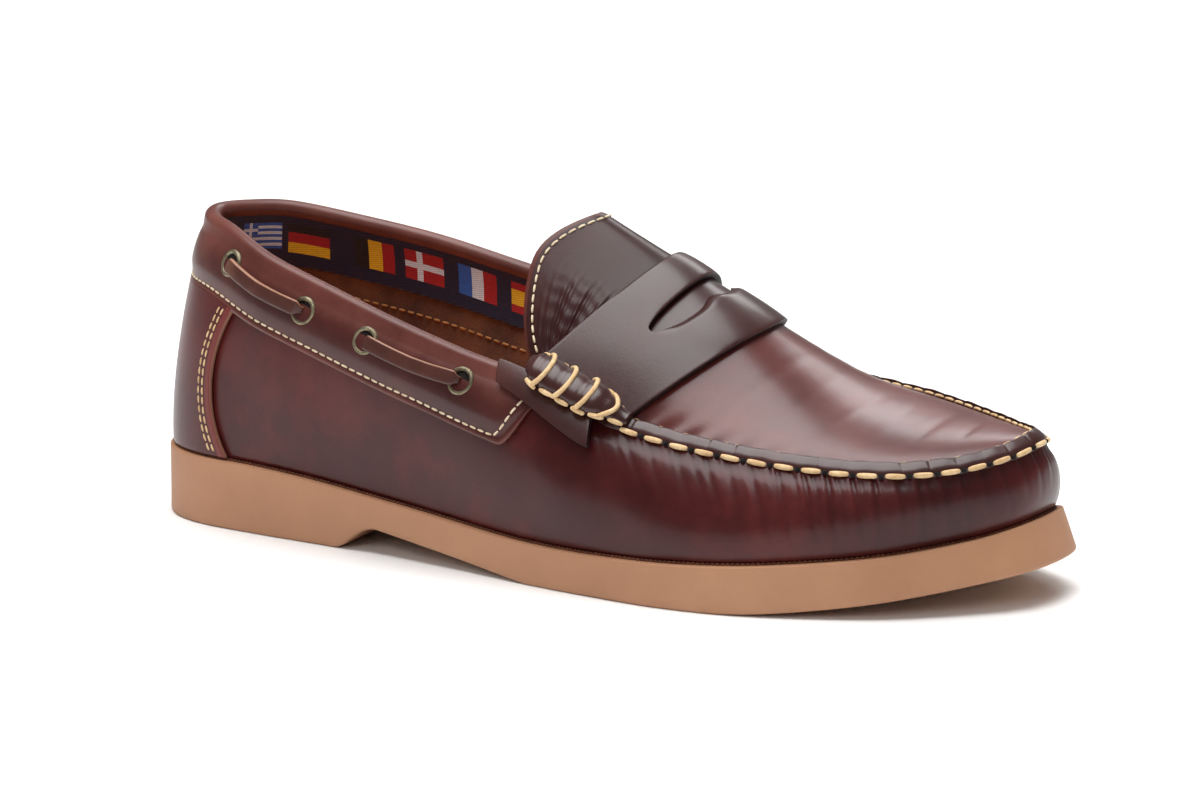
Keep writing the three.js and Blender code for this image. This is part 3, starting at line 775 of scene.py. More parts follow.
def quarter_depth(k, v):
    return wall_top(k) + (tape_at(k)[:, 0] - wall_top(k)) * (1 - v) ** 1.25


def quarter(k, v):
    depth = quarter_depth(k, v)
    lift = pleat_lift(k, depth) + side_lift(k, depth)
    return on_wall(k, depth, lift * smooth(0, 5, tape_at(k)[:, 0] - depth))


# The wall's tone follows the pleats: crests lighter where the leather stretches, the troughs and the
# drawn band under the seam darker, which is painted shade.
def quarter_stretch_and_painted_shade(k, v):
    return pleat_lift(k, quarter_depth(k, v))


one_quarter = np.linspace(0, 8, 130)
vamp = np.linspace(8, 22, 751)[1:]
other_quarter = np.linspace(22, 30, 130)[1:]
around = np.concatenate([one_quarter, vamp, other_quarter])
bm = bmesh.new()
lay(bm, quarter, around, np.linspace(0, 1, 45), wear_and_painted_light=quarter_stretch_and_painted_shade)
weld(bm)
piece("upper_wall", bm, [BURGUNDY, SUEDE], ["upper"], thick=2.0)

# %% [markdown]
# The plug is the smooth apron over the toes. It is one curved sheet from seam to seam, with shallow
# creases across the flex of the foot and a small tuck where each stitch draws its edge in.

# %% Toe plug, with its creases as section, place, length, depth, width
PLUG_CREASES = [
    [9.1, 0.1, 0.7, 0.12, 0.1], [9.6, -0.2, 0.8, 0.1, 0.09], [10.3, 0.25, 0.6, 0.14, 0.1],
    [10.9, -0.1, 0.8, 0.1, 0.12], [11.6, 0.1, 0.7, 0.12, 0.14], [12.3, -0.2, 0.6, 0.1, 0.12],
]


def plug_lift(across, k):
    total = np.zeros(len(k))
    for at, middle, reach, deep, wide in PLUG_CREASES:
        bow = at + 0.25 * (across - middle) ** 2
        total -= deep * np.exp(-((k - bow) / wide) ** 2 - ((across - middle) / reach) ** 4)
    s = seam_mm(np.where(across > 0, k, opposite(k)))
    rim = np.exp(-((1 - np.abs(across)) * 30 / 3.2) ** 2)
    return total + rim * (-0.7 + 0.3 * np.cos(2 * np.pi * s / STITCH_PITCH))


def plug_surface(across, k):
    return on_instep(k, across, plug_lift(across, k))


# Painted shade: the rear of the plug, under the strap, is darkened.
def plug_painted_shade(across, k):
    return -1.6 * smooth(8.5, 8.3, k)


bm = bmesh.new()
plug_rows = np.linspace(7.3, TOE_SECTION - 0.005, 260)
lay(bm, plug_surface, np.linspace(-1, 1, 121), plug_rows, wear_and_painted_light=plug_painted_shade)
weld(bm)
piece("toe_plug", bm, [PLUG, SUEDE], ["upper"], thick=2.0)

# %% [markdown]
# The edge of the vamp is folded up against the plug and the two are sewn through and through, which
# leaves a raised ridge with a cut edge on top and a nick at every stitch.

# %% Gathered ridge
SEAM_LEAN = 0.55


def seam_frame(k):
    point, up, out = wall_frame(k, np.ones(len(k)))
    flat_out = unit(out * [1, 1, 0])
    raised = unit(flat_out * SEAM_LEAN + [0, 0, 1.0])
    along = unit(np.cross(flat_out, up))
    inward = unit(np.cross(raised, along))
    inward = inward * -np.sign((inward * flat_out).sum(1, keepdims=True))
    return point, raised, inward


RIDGE = np.array([
    [-2.6, -2.2], [-3.0, -0.8], [-2.8, 0.5], [-2.0, 1.5], [-0.8, 2.3], [0.5, 2.9], [1.5, 3.2],
    [2.0, 3.1], [2.1, 2.7], [1.6, 2.0], [1.3, 1.2], [2.2, 0.4], [2.5, -0.8], [1.8, -2.2],
])


def ridge_surface(k, row):
    point, raised, inward = seam_frame(k)
    across, high = RIDGE[row.astype(int) % len(RIDGE)].T
    s = seam_mm(k)
    from_nick = np.mod(s, STITCH_PITCH) - STITCH_PITCH / 2
    nick = np.exp(-((from_nick / 0.5) ** 2)) * (0.6 + 0.5 * np.sin(s * 0.21))
    wave = 0.18 * np.sin(s * 0.83) + 0.14 * np.sin(s * 0.37 + 1)
    ends = smooth(SEAM_FROM, 8.45, from_heel(k))
    top = np.clip(high, 0, 3) / 3
    uneven = 1 - 0.1 * nick * top + wave * top * 0.25
    high = high * (1 - 0.42 * top) * uneven - (1 - ends) * 1.2
    across = across * (1 - 0.04 * nick) + 0.12 * wave
    return point + inward * across[:, None] + raised * high[:, None]


bm = bmesh.new()
lay(bm, ridge_surface, np.linspace(SEAM_FROM, SEAM_TO, 1100), np.arange(len(RIDGE) + 1.0))
weld(bm)
close(bm)
piece("seam_ridge", bm, [STRAP_BROWN], ["upper"])

# %% [markdown]
# The thick thread shows twice: as long stitches on the outer flank of the ridge, and as short thin
# ones against the plug. Between two outer stitches the thread goes down a hole, and the hole's
# shade is painted: a small dark bead lying across the seam.


# %% Hand-sewn stitches along the ridge, outside and inside
def ridge_path(across, high, lean):
    def path(k):
        point, raised, inward = seam_frame(k)
        return point + inward * across + raised * high, unit(raised - inward * lean)
    return path


bm = bmesh.new()
stitch_row(bm, ridge_path(-2.95, 0.55, 1.6), 8.42, 21.58, STITCH_PITCH, 6.0, 1.7, 1.5)
stitch_row(bm, ridge_path(2.6, 0.6, -0.7), 8.5, 21.5, STITCH_PITCH / 2, 3.4, 1.0, 0.9)
piece("seam_stitches", bm, [CREAM])

bm = bmesh.new()
stitch_middles = spaced(ridge_path(-3.0, 0.35, 1.6), 8.42, 21.58, STITCH_PITCH)
between = (stitch_middles[1:] + stitch_middles[:-1]) / 2
hole_path = ridge_path(-2.95, 0.45, 1.6)
at, facing = hole_path(between)
toward = hole_path(between + 0.01)[0] - at
set_beads(bm, at, toward, facing, 1.6, 1.5, 1.2)
piece("seam_hole_shade", bm, [HOLE_SHADE])

# %% [markdown]
# ## Tongue
# The tongue is a separate sheet that comes out from under the strap and stands up behind it. Its
# edge is left raw, with a row of thin stitches just inside. It could be a flat cut piece, bent
# afterwards. Straight lines fanned from a root on the instep to the tip give that bend at once.

# %% Tongue surface
TONGUE_HALF, TONGUE_BACK, TONGUE_BOW = 37.5, 0.49 * LENGTH, 12.0
TONGUE_EAR, TONGUE_FOOT, TONGUE_RISE = 0.55, 61.0, 41.0


def tongue_at(r, s):
    root = rib(np.full(len(s), 7.2), s * 0.8)
    side = np.minimum(1, np.abs(s))
    inner = 0.5 - 0.5 * np.cos(np.pi * side / TONGUE_EAR)
    outer = np.sqrt(np.clip(1 - ((side - TONGUE_EAR) / (1 - TONGUE_EAR)) ** 2, 0, 1))
    back = np.where(side < TONGUE_EAR, inner, outer)
    height = TONGUE_FOOT + TONGUE_RISE * (1 - side * side)
    tip = np.stack([TONGUE_HALF * s, TONGUE_BACK - TONGUE_BOW * back, height], -1)
    return root + (tip - root) * r[:, None]


def tongue_frame(r, s):
    along = tongue_at(r - 0.02, s) - tongue_at(r + 0.02, s)
    sideways = tongue_at(r, s + 0.02) - tongue_at(r, s - 0.02)
    return tongue_at(r, s), unit(np.cross(sideways, along))


def tongue_surface(s, r):
    point, out = tongue_frame(r, s)
    crumple = smooth(0.45, 0.75, np.abs(s)) * smooth(0.95, 0.5, r)
    folds = 0.16 * np.sin(64 * r + 9 * s) + 0.12 * np.sin(97 * r - 9 * s + 2 * np.sin(9 * s))
    folds = folds + 0.08 * np.sin(74 * s + 16 * r + np.sin(23 * r)) + 0.1 * np.sin(21 * r + 5 * s)
    lip = -0.35 * np.exp(-((1 - r) / 0.03) ** 2)
    return point + out * (crumple * folds + lip - GAP / 2)[:, None]


def tongue_wear(s, r):
    return 1.3 * smooth(0.95, 0.97, r)


bm = bmesh.new()
tongue_columns = np.linspace(-1, 1, 201)
lay(bm, tongue_surface, tongue_columns, np.linspace(0, 1, 130), turn=True, wear_and_painted_light=tongue_wear)
leathers = [TONGUE_BROWN, SUEDE, CUT_EDGE]
piece("tongue_leather", bm, leathers, ["tongue"], thick=2.0, bevel=0.4)


def tongue_path(inset):
    def path(s):
        tip = np.linalg.norm(tongue_at(np.ones(len(s)), s) - tongue_at(np.zeros(len(s)), s), axis=1)
        point, out = tongue_frame(1 - inset / tip, s)
        return point + out * 0.1, out
    return path


bm = bmesh.new()
stitch_row(bm, tongue_path(3.0), -0.96, 0.96, 3.3, 2.6, 0.75)
piece("tongue_stitches", bm, [WHITE])

# %% [markdown]
# ## Saddle strap
# The strap crosses the instep over the tongue and the plug. Its slot is a slit that opens like an
# eye: two strips of grid that share one line beyond the ends of the slot and part between them,
# the front lip cut in a double wave.

# %% Edges of the strap and of its slot, as sections of the last
STRAP_REAR = 7.03
STRAP_FRONT = 8.5
SLOT_LINE = 7.72
SLOT_ENDS = np.array([-0.67, 0.57])


def bump_at(share, middle, width):
    return np.exp(-((share - middle) / width) ** 2)


def strap_rear(a):
    return STRAP_REAR + 0 * a


def strap_front(a):
    return STRAP_FRONT + 0.03 * np.cos(3 * a)


def slot_share(a):
    return np.clip((a - SLOT_ENDS[0]) / (SLOT_ENDS[1] - SLOT_ENDS[0]), 0, 1)


def slot_rear(a):
    share = slot_share(a)
    return SLOT_LINE - 0.2 * (4 * share * (1 - share)) ** 0.36


def slot_front(a):
    share = slot_share(a)
    opening = (4 * share * (1 - share)) ** 0.28
    wave = 0.10 * bump_at(share, 0.36, 0.09) + 0.10 * bump_at(share, 0.64, 0.09)
    return SLOT_LINE + opening * (0.13 - wave - 0.02 * bump_at(share, 0.5, 0.06))


near_end = SLOT_ENDS[:1] + 0.2
opening = rib(slot_front(near_end), near_end) - rib(slot_rear(near_end), near_end)
print("slot opens by", np.linalg.norm(opening).round(1), "mm near its end")


# %% Strap
def strap_surface(rear, front, lip=0.0):
    def surface(a, v):
        first, last = rear(a), front(a)
        k = first + (last - first) * v
        crown = 0.5 * np.sin(np.pi * v) ** 0.5 - 0.3
        ends = smooth(0.9, 0.72, np.abs(a))
        slotted = smooth(0.62, 0.45, np.abs(a + 0.05))
        dip = lip * (1 - smooth(0.0, 0.14, v)) * slotted
        return on_instep(k, a, GAP + STRAP + crown * ends * slotted - dip)
    return surface


CUT_STRAP = [STRAP_BROWN, STRAP_BROWN, DARK_EDGE]
strap_columns = np.sort(np.concatenate([np.linspace(-0.965, 0.965, 195), SLOT_ENDS]))
bm = bmesh.new()
lay(bm, strap_surface(strap_rear, slot_rear), strap_columns, np.linspace(0, 1, 16))
lay(bm, strap_surface(slot_front, strap_front, 1.3), strap_columns, np.linspace(0, 1, 20))
weld(bm)
piece("strap", bm, CUT_STRAP, ["saddle_strap"], thick=STRAP, bevel=0.35)

# %% [markdown]
# ## Collar
# The padded topline and the flat band under it are one strip of softer leather: up the band, over a
# round roll filled with foam, and down inside as a facing. The lower front corners are rounded.
# It could be three pieces, but one sheet rolled round as a closed loop has no gap to hide.

# %% Shape of the band under the roll
BAND_END = 7.5
ROLL_FOOT = 2 * ROLL_RADIUS + 0.6


def band_depth(k):
    f = np.clip((np.abs(k) - 6.8) / 0.5, 0, 1)
    return BAND_DEPTH + 1.2 * smooth(5.5, 6.9, np.abs(k)) - 17 * f**1.5


def band_lift(k, depth):
    low = band_depth(k)
    share = np.clip((depth - low) / (ROLL_FOOT - low), 0, 1)
    groove = -0.12 * np.exp(-((share - 1) / 0.1) ** 2)
    seam = -0.3 * np.exp(-((low - 2.2 - depth) / 0.8) ** 2)
    flat = smooth(7.3, 7.0, np.abs(k))
    puff = 0.9 * np.sin(np.pi * share) * smooth(0.12, 0.4, share) * flat
    return GAP + OVERLAY * (0.55 + 0.45 * flat) + groove + seam + puff


print("depth of the band at the heel:", band_depth(np.array([0.0])), "mm")

# %% Collar strip, with its rows as shares of the way round
BAND_SHARE = 0.45
ROLL_SHARE = 0.4
FACING_FROM = 0.86
COLLAR_ROWS = 41
ROLL_START = -0.12 * np.pi
ROLL_TURN = 1.42 * np.pi


def collar_surface(k, row):
    rows = np.mod(row, COLLAR_ROWS) / (COLLAR_ROWS - 1)
    depth_low = band_depth(k)
    share = np.clip(rows / BAND_SHARE, 0, 1)
    depth = depth_low + (ROLL_FOOT - depth_low) * share
    band = on_wall(k, depth, band_lift(k, depth))
    point, up, out = wall_frame(k, below(k, np.full(len(k), ROLL_RADIUS)))
    centre = point + out * (GAP + OVERLAY + 0.3 - ROLL_RADIUS)
    angle = np.clip((rows - BAND_SHARE) / ROLL_SHARE, 0, 1) * ROLL_TURN + ROLL_START
    aside, aloft = ROLL_RADIUS * np.cos(angle), ROLL_RADIUS * np.sin(angle)
    roll = centre + out * aside[:, None] + up * aloft[:, None]
    back = np.clip((rows - 0.88) / 0.12, 0, 1)
    facing_top = ROLL_FOOT + 0.5
    facing = on_wall(k, facing_top + (depth_low - facing_top) * back, np.full(len(k), 0.1))
    outside = np.where((rows <= BAND_SHARE)[:, None], band, roll)
    return np.where((rows > FACING_FROM)[:, None], facing, outside)


# Painted highlight: the upper band and the roll are lighter; the bottom row is a paler raw edge.
def collar_painted_highlight_and_raw_edge(k, row):
    return 0.85 * smooth(9, 20, row) + 0.7 * (row < 0.9)


bm = bmesh.new()
band_k = np.linspace(-BAND_END, BAND_END, 420)
facing_rows = [35.2, 36.8, 38.4, 40, COLLAR_ROWS]
collar_rows = np.concatenate([np.linspace(0, 18, 22), np.linspace(18.6, 34, 22), facing_rows])
lay(bm, collar_surface, band_k, collar_rows, wear_and_painted_light=collar_painted_highlight_and_raw_edge)
weld(bm)
close(bm)
piece("collar", bm, [COLLAR], ["collar_band"])


# %% Collar stitches, along the lower edge and round the corner
def band_path(k):
    depth = band_depth(k + 0.09 * np.sign(k)) - 2.1
    point, up, out = wall_frame(k, below(k, depth))
    return point + out * band_lift(k, depth)[:, None], out


bm = bmesh.new()
stitch_row(bm, band_path, -7.2, 7.2, 3.0, 2.45, 0.72)
piece("collar_stitches", bm, [WHITE])

# %% [markdown]
# ## Heel counter
# A flat piece of the darker leather is lapped round the heel under the collar. Its two front edges
# bow backwards and are held by a double row of thin stitches. It is laid with the same tape as the
# wall, one leather's thickness further out, so the two can't cross.

# %% Counter
COUNTER_END = 2.55


def counter_end(v):
    return COUNTER_END - 0.3 * np.sin(np.pi * np.clip(v, 0, 1)) ** 0.9


def counter_place(side, v):
    k = side * counter_end(v)
    low, top = tape_at(k)[:, 0] - 0.6, BAND_DEPTH - 1.0
    return k, low - (low - top) * v


def counter_surface(side, v):
    k, depth = counter_place(side, v)
    return on_wall(k, depth, np.full(len(k), GAP + OVERLAY))


def counter_wear(side, v):
    return 1.5 * smooth(0.95, 0.965, np.abs(side))


bm = bmesh.new()
lay(bm, counter_surface, np.linspace(-1, 1, 161), np.linspace(0, 1, 40), wear_and_painted_light=counter_wear)
leathers = [BURGUNDY, BURGUNDY, CUT_EDGE]
piece("counter", bm, leathers, ["heel_counter"], thick=OVERLAY, bevel=0.4)


def counter_path(side, inset):
    def path(v):
        k, depth = counter_place(np.full(len(v), side), v)
        point, up, out = wall_frame(k - side * inset / 24, below(k, depth))
        return point + out * (GAP + OVERLAY), out
    return path


bm = bmesh.new()
for side in (-1.0, 1.0):
    for inset in (3.6, 5.7):
        stitch_row(bm, counter_path(side, inset), 0.03, 0.97, 3.0, 2.4, 0.7)
piece("counter_stitches", bm, [CREAM])

# %% [markdown]
# ## Side rolls
# Where the strap meets the vamp its end is rolled into a small bolster and whipped down with four
# loops of thick thread. The bolster could be a stretched sphere, but a grid rolled into a tube round
# the seam follows its bend, and can be pinched where each loop pulls tight.

# %% Bolster: rear and front section, width and height, and where the loops pinch it
ROLL_REAR, ROLL_FRONT, ROLL_WIDE, ROLL_TALL = 7.1, 8.55, 6.2, 3.5
LOOPS = (0.12, 0.34, 0.56, 0.78)
SIDES = {"lateral": 1, "medial": -1}


def roll_frame(side, f):
    k = ROLL_REAR + (ROLL_FRONT - ROLL_REAR) * f
    k = k if side > 0 else opposite(k)
    point, raised, inward = seam_frame(k)
    back = smooth(0.0, 0.1, f) * 0.45 + 0.55
    front = 1 - 0.62 * smooth(0.62, 1.0, f)
    centre = point + raised * (ROLL_TALL * 0.9 + STRAP - 2.6 * smooth(0.7, 1.0, f))[:, None]
    return centre, raised, inward, back * front


def roll_surface(side):
    def surface(f, angle):
        centre, raised, inward, full = roll_frame(side, np.clip(f, 0, 1))
        pinch = sum(np.exp(-((f - at) / 0.035) ** 2) for at in LOOPS)
        size = full * (1 - 0.1 * pinch) * np.where((f < 0) | (f > 1), 0.55, 1.0)
        wide, tall = np.cos(angle) * ROLL_WIDE, np.sin(angle) * ROLL_TALL
        return centre + inward * (wide * size)[:, None] + raised * (tall * size)[:, None]
    return surface


along_roll = np.concatenate([[-0.02], np.linspace(0, 1, 70), [1.02]])
for word, side in SIDES.items():
    bm = bmesh.new()
    lay(bm, roll_surface(side), along_roll, np.linspace(0, 2 * np.pi, 33))
    weld(bm)
    close(bm)
    piece("roll_" + word, bm, [STRAP_BROWN], ["side_roll_" + word])


# %% [markdown]
# A loop of thread and a thong are both cords: a small closed section carried along a path. A curve
# with a bevel could do this too, but a grid laid on the path keeps the section upright on the
# leather, so that a flat thong doesn't twist.


# %% Cords, swept along a path
def cord(bm, path, at, wide, tall, around=10, square=1.0, pale_edge=0):
    points, out = path(at)
    ahead = unit(np.gradient(points, axis=0))
    sideways = unit(np.cross(out, ahead))
    out = np.cross(ahead, sideways)
    angles = np.linspace(0, 2 * np.pi, around + 1)
    ends = np.clip(np.sin(np.pi * np.linspace(0, 1, len(at))) * 6, 0.5, 1)

    def surface(u, v):
        i = u.astype(int)
        c, s = np.cos(v), np.sin(v)
        across = np.sign(c) * np.abs(c) ** square * wide / 2 * ends[i]
        high = np.sign(s) * np.abs(s) ** square * tall / 2 * ends[i]
        return points[i] + sideways[i] * across[:, None] + out[i] * high[:, None]

    def cord_wear(u, v):
        return 2.2 * smooth(0.6, 0.95, pale_edge * np.cos(v))

    lay(bm, surface, np.arange(len(at)) * 1.0, angles, wear_and_painted_light=cord_wear)


# %% Loops and rows of thread on the bolsters
def round_roll(side, f, angle, wider, taller):
    centre, raised, inward, full = roll_frame(side, f)
    wide, tall = np.cos(angle) * (ROLL_WIDE + wider), np.sin(angle) * (ROLL_TALL + taller)
    point = centre + inward * (wide * full)[:, None] + raised * (tall * full)[:, None]
    return point, raised, inward


def loop_path(side, f):
    def path(angle):
        bow = 0.1 * np.sin(angle)
        point, raised, inward = round_roll(side, f + bow, angle, 0.5, 0.15)
        return point, unit(inward * np.cos(angle)[:, None] + raised * np.sin(angle)[:, None])
    return path


def roll_edge(side, angle):
    def path(f):
        point, raised, inward = round_roll(side, f, angle, 0.5, 0.3)
        return point, unit(inward * math.cos(angle) + raised * (0.6 + abs(math.sin(angle))))
    return path


bm = bmesh.new()
for side in SIDES.values():
    for f in LOOPS:
        cord(bm, loop_path(side, f), np.radians(np.linspace(-18, 198, 26)), 1.5, 1.4)
    for angle in (188, -8):
        stitch_row(bm, roll_edge(side, math.radians(angle)), 0.04, 0.99, 6.0, 5.0, 1.6)
weld(bm, 0.000005)
close(bm)
piece("roll_loops", bm, [CREAM])

# %% [markdown]
# The end of the strap comes out under the roll as a tab. Its corners are rounded by drawing in the
# two ends of the grid, so one sheet with a thickness is enough.


# %% Tabs under the rolls
def rounded(u, v, corner_u, corner_v):
    f = np.clip((np.abs(v) - (1 - corner_v)) / corner_v, 0, 1)
    return u * (1 - corner_u * (1 - np.sqrt(1 - f * f)))


def tab_surface(side):
    def surface(u, v):
        u = rounded(u, v, 0.12, 0.14)
        k = 7.42 + 0.72 * u + 0.05 * v
        depth = 0.6 + (9.2 + 2.8 * u) * (v + 1) / 2
        lift = np.full(len(k), 2 * GAP + OVERLAY + STRAP)
        return on_wall(k if side > 0 else opposite(k), depth, lift)
    return surface


for word, side in SIDES.items():
    bm = bmesh.new()
    lay(bm, tab_surface(side), np.linspace(-1, 1, 50), np.linspace(-1, 1, 40), turn=side > 0)
    made_from = ["side_roll_" + word]
    piece("tab_" + word, bm, CUT_STRAP, made_from, thick=STRAP, bevel=0.4)


# %% [markdown]
# ## Eyelets and thong
# A rawhide thong runs through four brass eyelets on each side. Each eyelet is a turned profile spun
# round its own axis; between the pairs the thong shows as a flat cord that dips into the holes.

# %% Eyelets: section and depth of each, and the profile of the ring as radius and height
EYELETS = [(2.35, 9.8), (3.71, 10.8), (4.7, 10.4), (6.18, 9.8)]
RIM = [
    (3.0, -0.8), (3.05, 0.5), (3.3, 0.9), (3.75, 1.1), (4.2, 0.85), (4.5, 0.2), (4.4, -0.4),
    (3.6, -0.5),
]
SPIN = {"axis": (0, 0, 1), "cent": (0, 0, 0), "angle": 2 * math.pi, "steps": 32}


def seat(side, number):
    section, depth = EYELETS[number]
    point, up, out = wall_frame(np.array([side * section]), below([side * section], [depth]))
    return (point + out * (GAP + OVERLAY))[0], out[0]


def seat_matrix(place, out):
    facing = Vector(out * HALF_TURN)
    matrix = facing.to_track_quat("Z", "Y").to_matrix().to_4x4() @ Matrix.Scale(0.001, 4)
    matrix.translation = Vector(to_frame(place))
    return matrix


for word, side in SIDES.items():
    for number in range(len(EYELETS)):
        bm = bmesh.new()
        profile = [bm.verts.new((r, 0, z)) for r, z in RIM]
        rim = [bm.edges.new((a, b)) for a, b in zip(profile, profile[1:] + profile[:1])]
        bmesh.ops.spin(bm, geom=profile + rim, use_merge=True, **SPIN)
        bmesh.ops.recalc_face_normals(bm, faces=bm.faces[:])
        place, out = seat(side, number)
        bmesh.ops.transform(bm, matrix=seat_matrix(place, out), verts=bm.verts[:])
        which = f"{word}_{number + 1}"
        piece("ring_" + which, bm, [BRASS], ["eyelet_" + which])


# %% Dark discs behind the eyelets: painted shade for the inside of the holes
bm = bmesh.new()
for side in SIDES.values():
    for number in range(len(EYELETS)):
        disc = bmesh.ops.create_circle(bm, cap_ends=True, segments=24, radius=3.2)["verts"]
        place, out = seat(side, number)
        bmesh.ops.transform(bm, matrix=seat_matrix(place + out * 0.45, out), verts=disc)
piece("eyelet_hole_shade", bm, [HOLE_SHADE], thick=0.4)

# %% [markdown]
# The thong is a flat rawhide lace. It rises steeply out of one eyelet, sags a little between the
# two, and dips into the next. A few heights along its way are enough to describe that.


# %% Thong between the eyelets of a pair
def thong_path(side, first, second):
    (k0, d0), (k1, d1) = EYELETS[first], EYELETS[second]
    share = np.array([0.0, 0.02, 0.07, 0.16, 0.3, 0.5, 0.7, 0.84, 0.93, 0.98, 1.0])
    lift = np.array([0.0, 1.4, 2.4, 2.4, 2.0, 1.8, 2.0, 2.4, 2.4, 1.4, 0.0])
    sag = np.array([0, 0, 0.1, 0.3, 0.6, 0.8, 0.6, 0.3, 0.1, 0, 0])

    def path(f):
        k = side * (k0 + (k1 - k0) * f)
        point, up, out = wall_frame(k, below(k, d0 + (d1 - d0) * f + np.interp(f, share, sag)))
        return point + out * (GAP + OVERLAY + np.interp(f, share, lift))[:, None], out
    return path


THONG_WIDE, THONG_TALL = 4.6, 2.0
for word, side in SIDES.items():
    for end, first in (("rear", 0), ("front", 2)):
        bm = bmesh.new()
        path = thong_path(side, first, first + 1)
        cord(bm, path, np.linspace(0, 1, 60), THONG_WIDE, THONG_TALL, 20, 0.45, pale_edge=side)
        weld(bm)
        close(bm)
        piece(f"lace_{word}_{end}", bm, [THONG_BROWN], [f"thong_{word}_{end}"])


# %% [markdown]
# ## Inside
# The footbed is an orange leather sock that climbs round the heel like a cup. Above it the quarters
# are lined in brown suede, and a navy ribbon woven with small signal flags runs under the topline.

# %% Footbed rows from the rim inwards: share of the rim's height, gap to the wall, share across
BED = np.array([
    [1.0, 0, 1], [0.75, 0, 1], [0.5, 0, 1], [0.3, 0.8, 1], [0.15, 2.6, 1], [0.08, 5.5, 1],
    [0, 7, 0.82], [0, 7, 0.55], [0, 7, 0.28], [0, 7, 0],
])
WALL_ROWS = 6
BED_MIDDLE = len(BED) - 1


def rim_height(t):
    return INSOLE + 15 * (1 - smooth(3, 7, t)) + 5.5 * smooth(3, 6, t) * (1 - smooth(8, 11, t))


def bed_edge(k):
    point, up, out = wall_frame(k, np.zeros(len(k)))
    return point - out * (UPPER_WALL + 8)


def footbed_surface(t, row):
    row = row.astype(int)
    index = np.minimum(row, 2 * BED_MIDDLE - row)
    rise, gap, across = BED[index].T
    k = np.where(row <= BED_MIDDLE, t, opposite(t))
    tape = tape_at(k)[:, 0]
    h = below(k, np.maximum(tape - 0.3 - rim_height(t) * rise, 0.5))
    point, up, out = wall_frame(k, h)
    cup = point - out * (UPPER_WALL + 0.9 + gap)[:, None]
    cup[:, 2] = np.maximum(cup[:, 2], sole_top(cup[:, 1]) + INSOLE)
    own, other = bed_edge(k), bed_edge(opposite(k))
    middle = (own + other) / 2
    flat = middle + (own - middle) * across[:, None]
    ripple = 0.5 * np.sin(cup[:, 1] * 0.31 + 2 * np.sin(t * 5))
    ripple = ripple + 0.35 * np.sin(cup[:, 1] * 0.77 + flat[:, 0] * 0.2)
    flat[:, 2] = sole_top(flat[:, 1]) + INSOLE + ripple * 0.5
    return np.where((index >= WALL_ROWS)[:, None], flat, cup)


# %% Footbed
bm = bmesh.new()
bed_rows = np.arange(2 * BED_MIDDLE + 1.0)
lay(bm, footbed_surface, np.linspace(0.02, 14.4, 260), bed_rows, turn=True)
piece("footbed", bm, [FOOTBED], ["insole"], thick=0.9)

# %% [markdown]
# The ribbon is a flat weave, so its flags are charted like a weaver's draft: each is a few
# rectangles of one colour, given in millimetres along the ribbon and down from its flag's top.

# %% Flag charts: along from, along to, down from, down to, colour
DYES = {
    "navy": (12, 22, 50), "red": (176, 26, 34), "yellow": (246, 184, 34), "blue": (44, 96, 176),
    "white": (226, 228, 232), "black": (12, 12, 18), "green": (26, 110, 62),
}
STRIPES = [(0, 13, row, row + 1, "white" if row % 2 else "blue") for row in range(9)]
CHARTS = [
    STRIPES + [(0, 5, 0, 5, "blue"), (2, 3, 0, 5, "white"), (0, 5, 2, 3, "white")],
    [(0, 13, 0, 3, "black"), (0, 13, 3, 6.5, "red"), (0, 13, 6.5, 10, "yellow")],
    [(0, 4.5, 0, 10, "black"), (4.5, 9, 0, 10, "yellow"), (9, 13, 0, 10, "red")],
    [(0, 13, 0, 10, "red"), (4, 6, 0, 10, "white"), (0, 13, 4, 6, "white")],
    [(0, 4.5, 0, 10, "blue"), (4.5, 8.5, 0, 10, "white"), (8.5, 13, 0, 10, "red")],
    [(0, 13, 0, 2.5, "red"), (0, 13, 2.5, 7.5, "yellow"), (0, 13, 7.5, 10, "red")],
    [(0, 13, 0, 3.5, "red"), (0, 13, 3.5, 6.5, "white"), (0, 13, 6.5, 10, "blue")],
    [(0, 5, 0, 10, "green"), (5, 13, 0, 10, "red")],
]

# %% Where each chart is woven, in millimetres from the middle of the heel
PLACES = [
    (-10, 0), (-25, 1), (-46, 2), (-62.5, 3), (-80.5, 4), (-98.5, 5), (-117, 6), (-135, 1),
    (-153, 3), (6.5, 6), (24.5, 7), (42.5, 5), (60.5, 2), (78.5, 3), (96.5, 0), (114.5, 4),
    (132.5, 1), (150.5, 7),
]
FLAG_TOP = 7.0


def dye_at(along, depth):
    colour = "navy"
    for start, chart in PLACES:
        for first, last, top, low, name in CHARTS[chart]:
            here = start - along if start <= 0 else along - start
            if first <= here < last and top <= depth - FLAG_TOP < low:
                colour = name
    return linear(*DYES[colour])


print("flags on the ribbon:", len(PLACES), "from", len(CHARTS), "charts")

# %% Ribbon
RUN_K = np.linspace(-8, 8, 1601)
ribbon_middle = on_wall(RUN_K, np.full(len(RUN_K), 12.0), np.full(len(RUN_K), -2.7))
RUN_MM = run_along(ribbon_middle)
RUN_MM = RUN_MM - np.interp(0, RUN_K, RUN_MM)


def ribbon_surface(along, depth):
    k = np.interp(along, RUN_MM, RUN_K)
    pucker = 0.12 * np.sin(along * 0.9) * smooth(19, 22, depth)
    return on_wall(k, depth, -UPPER_WALL - 0.45 + pucker)


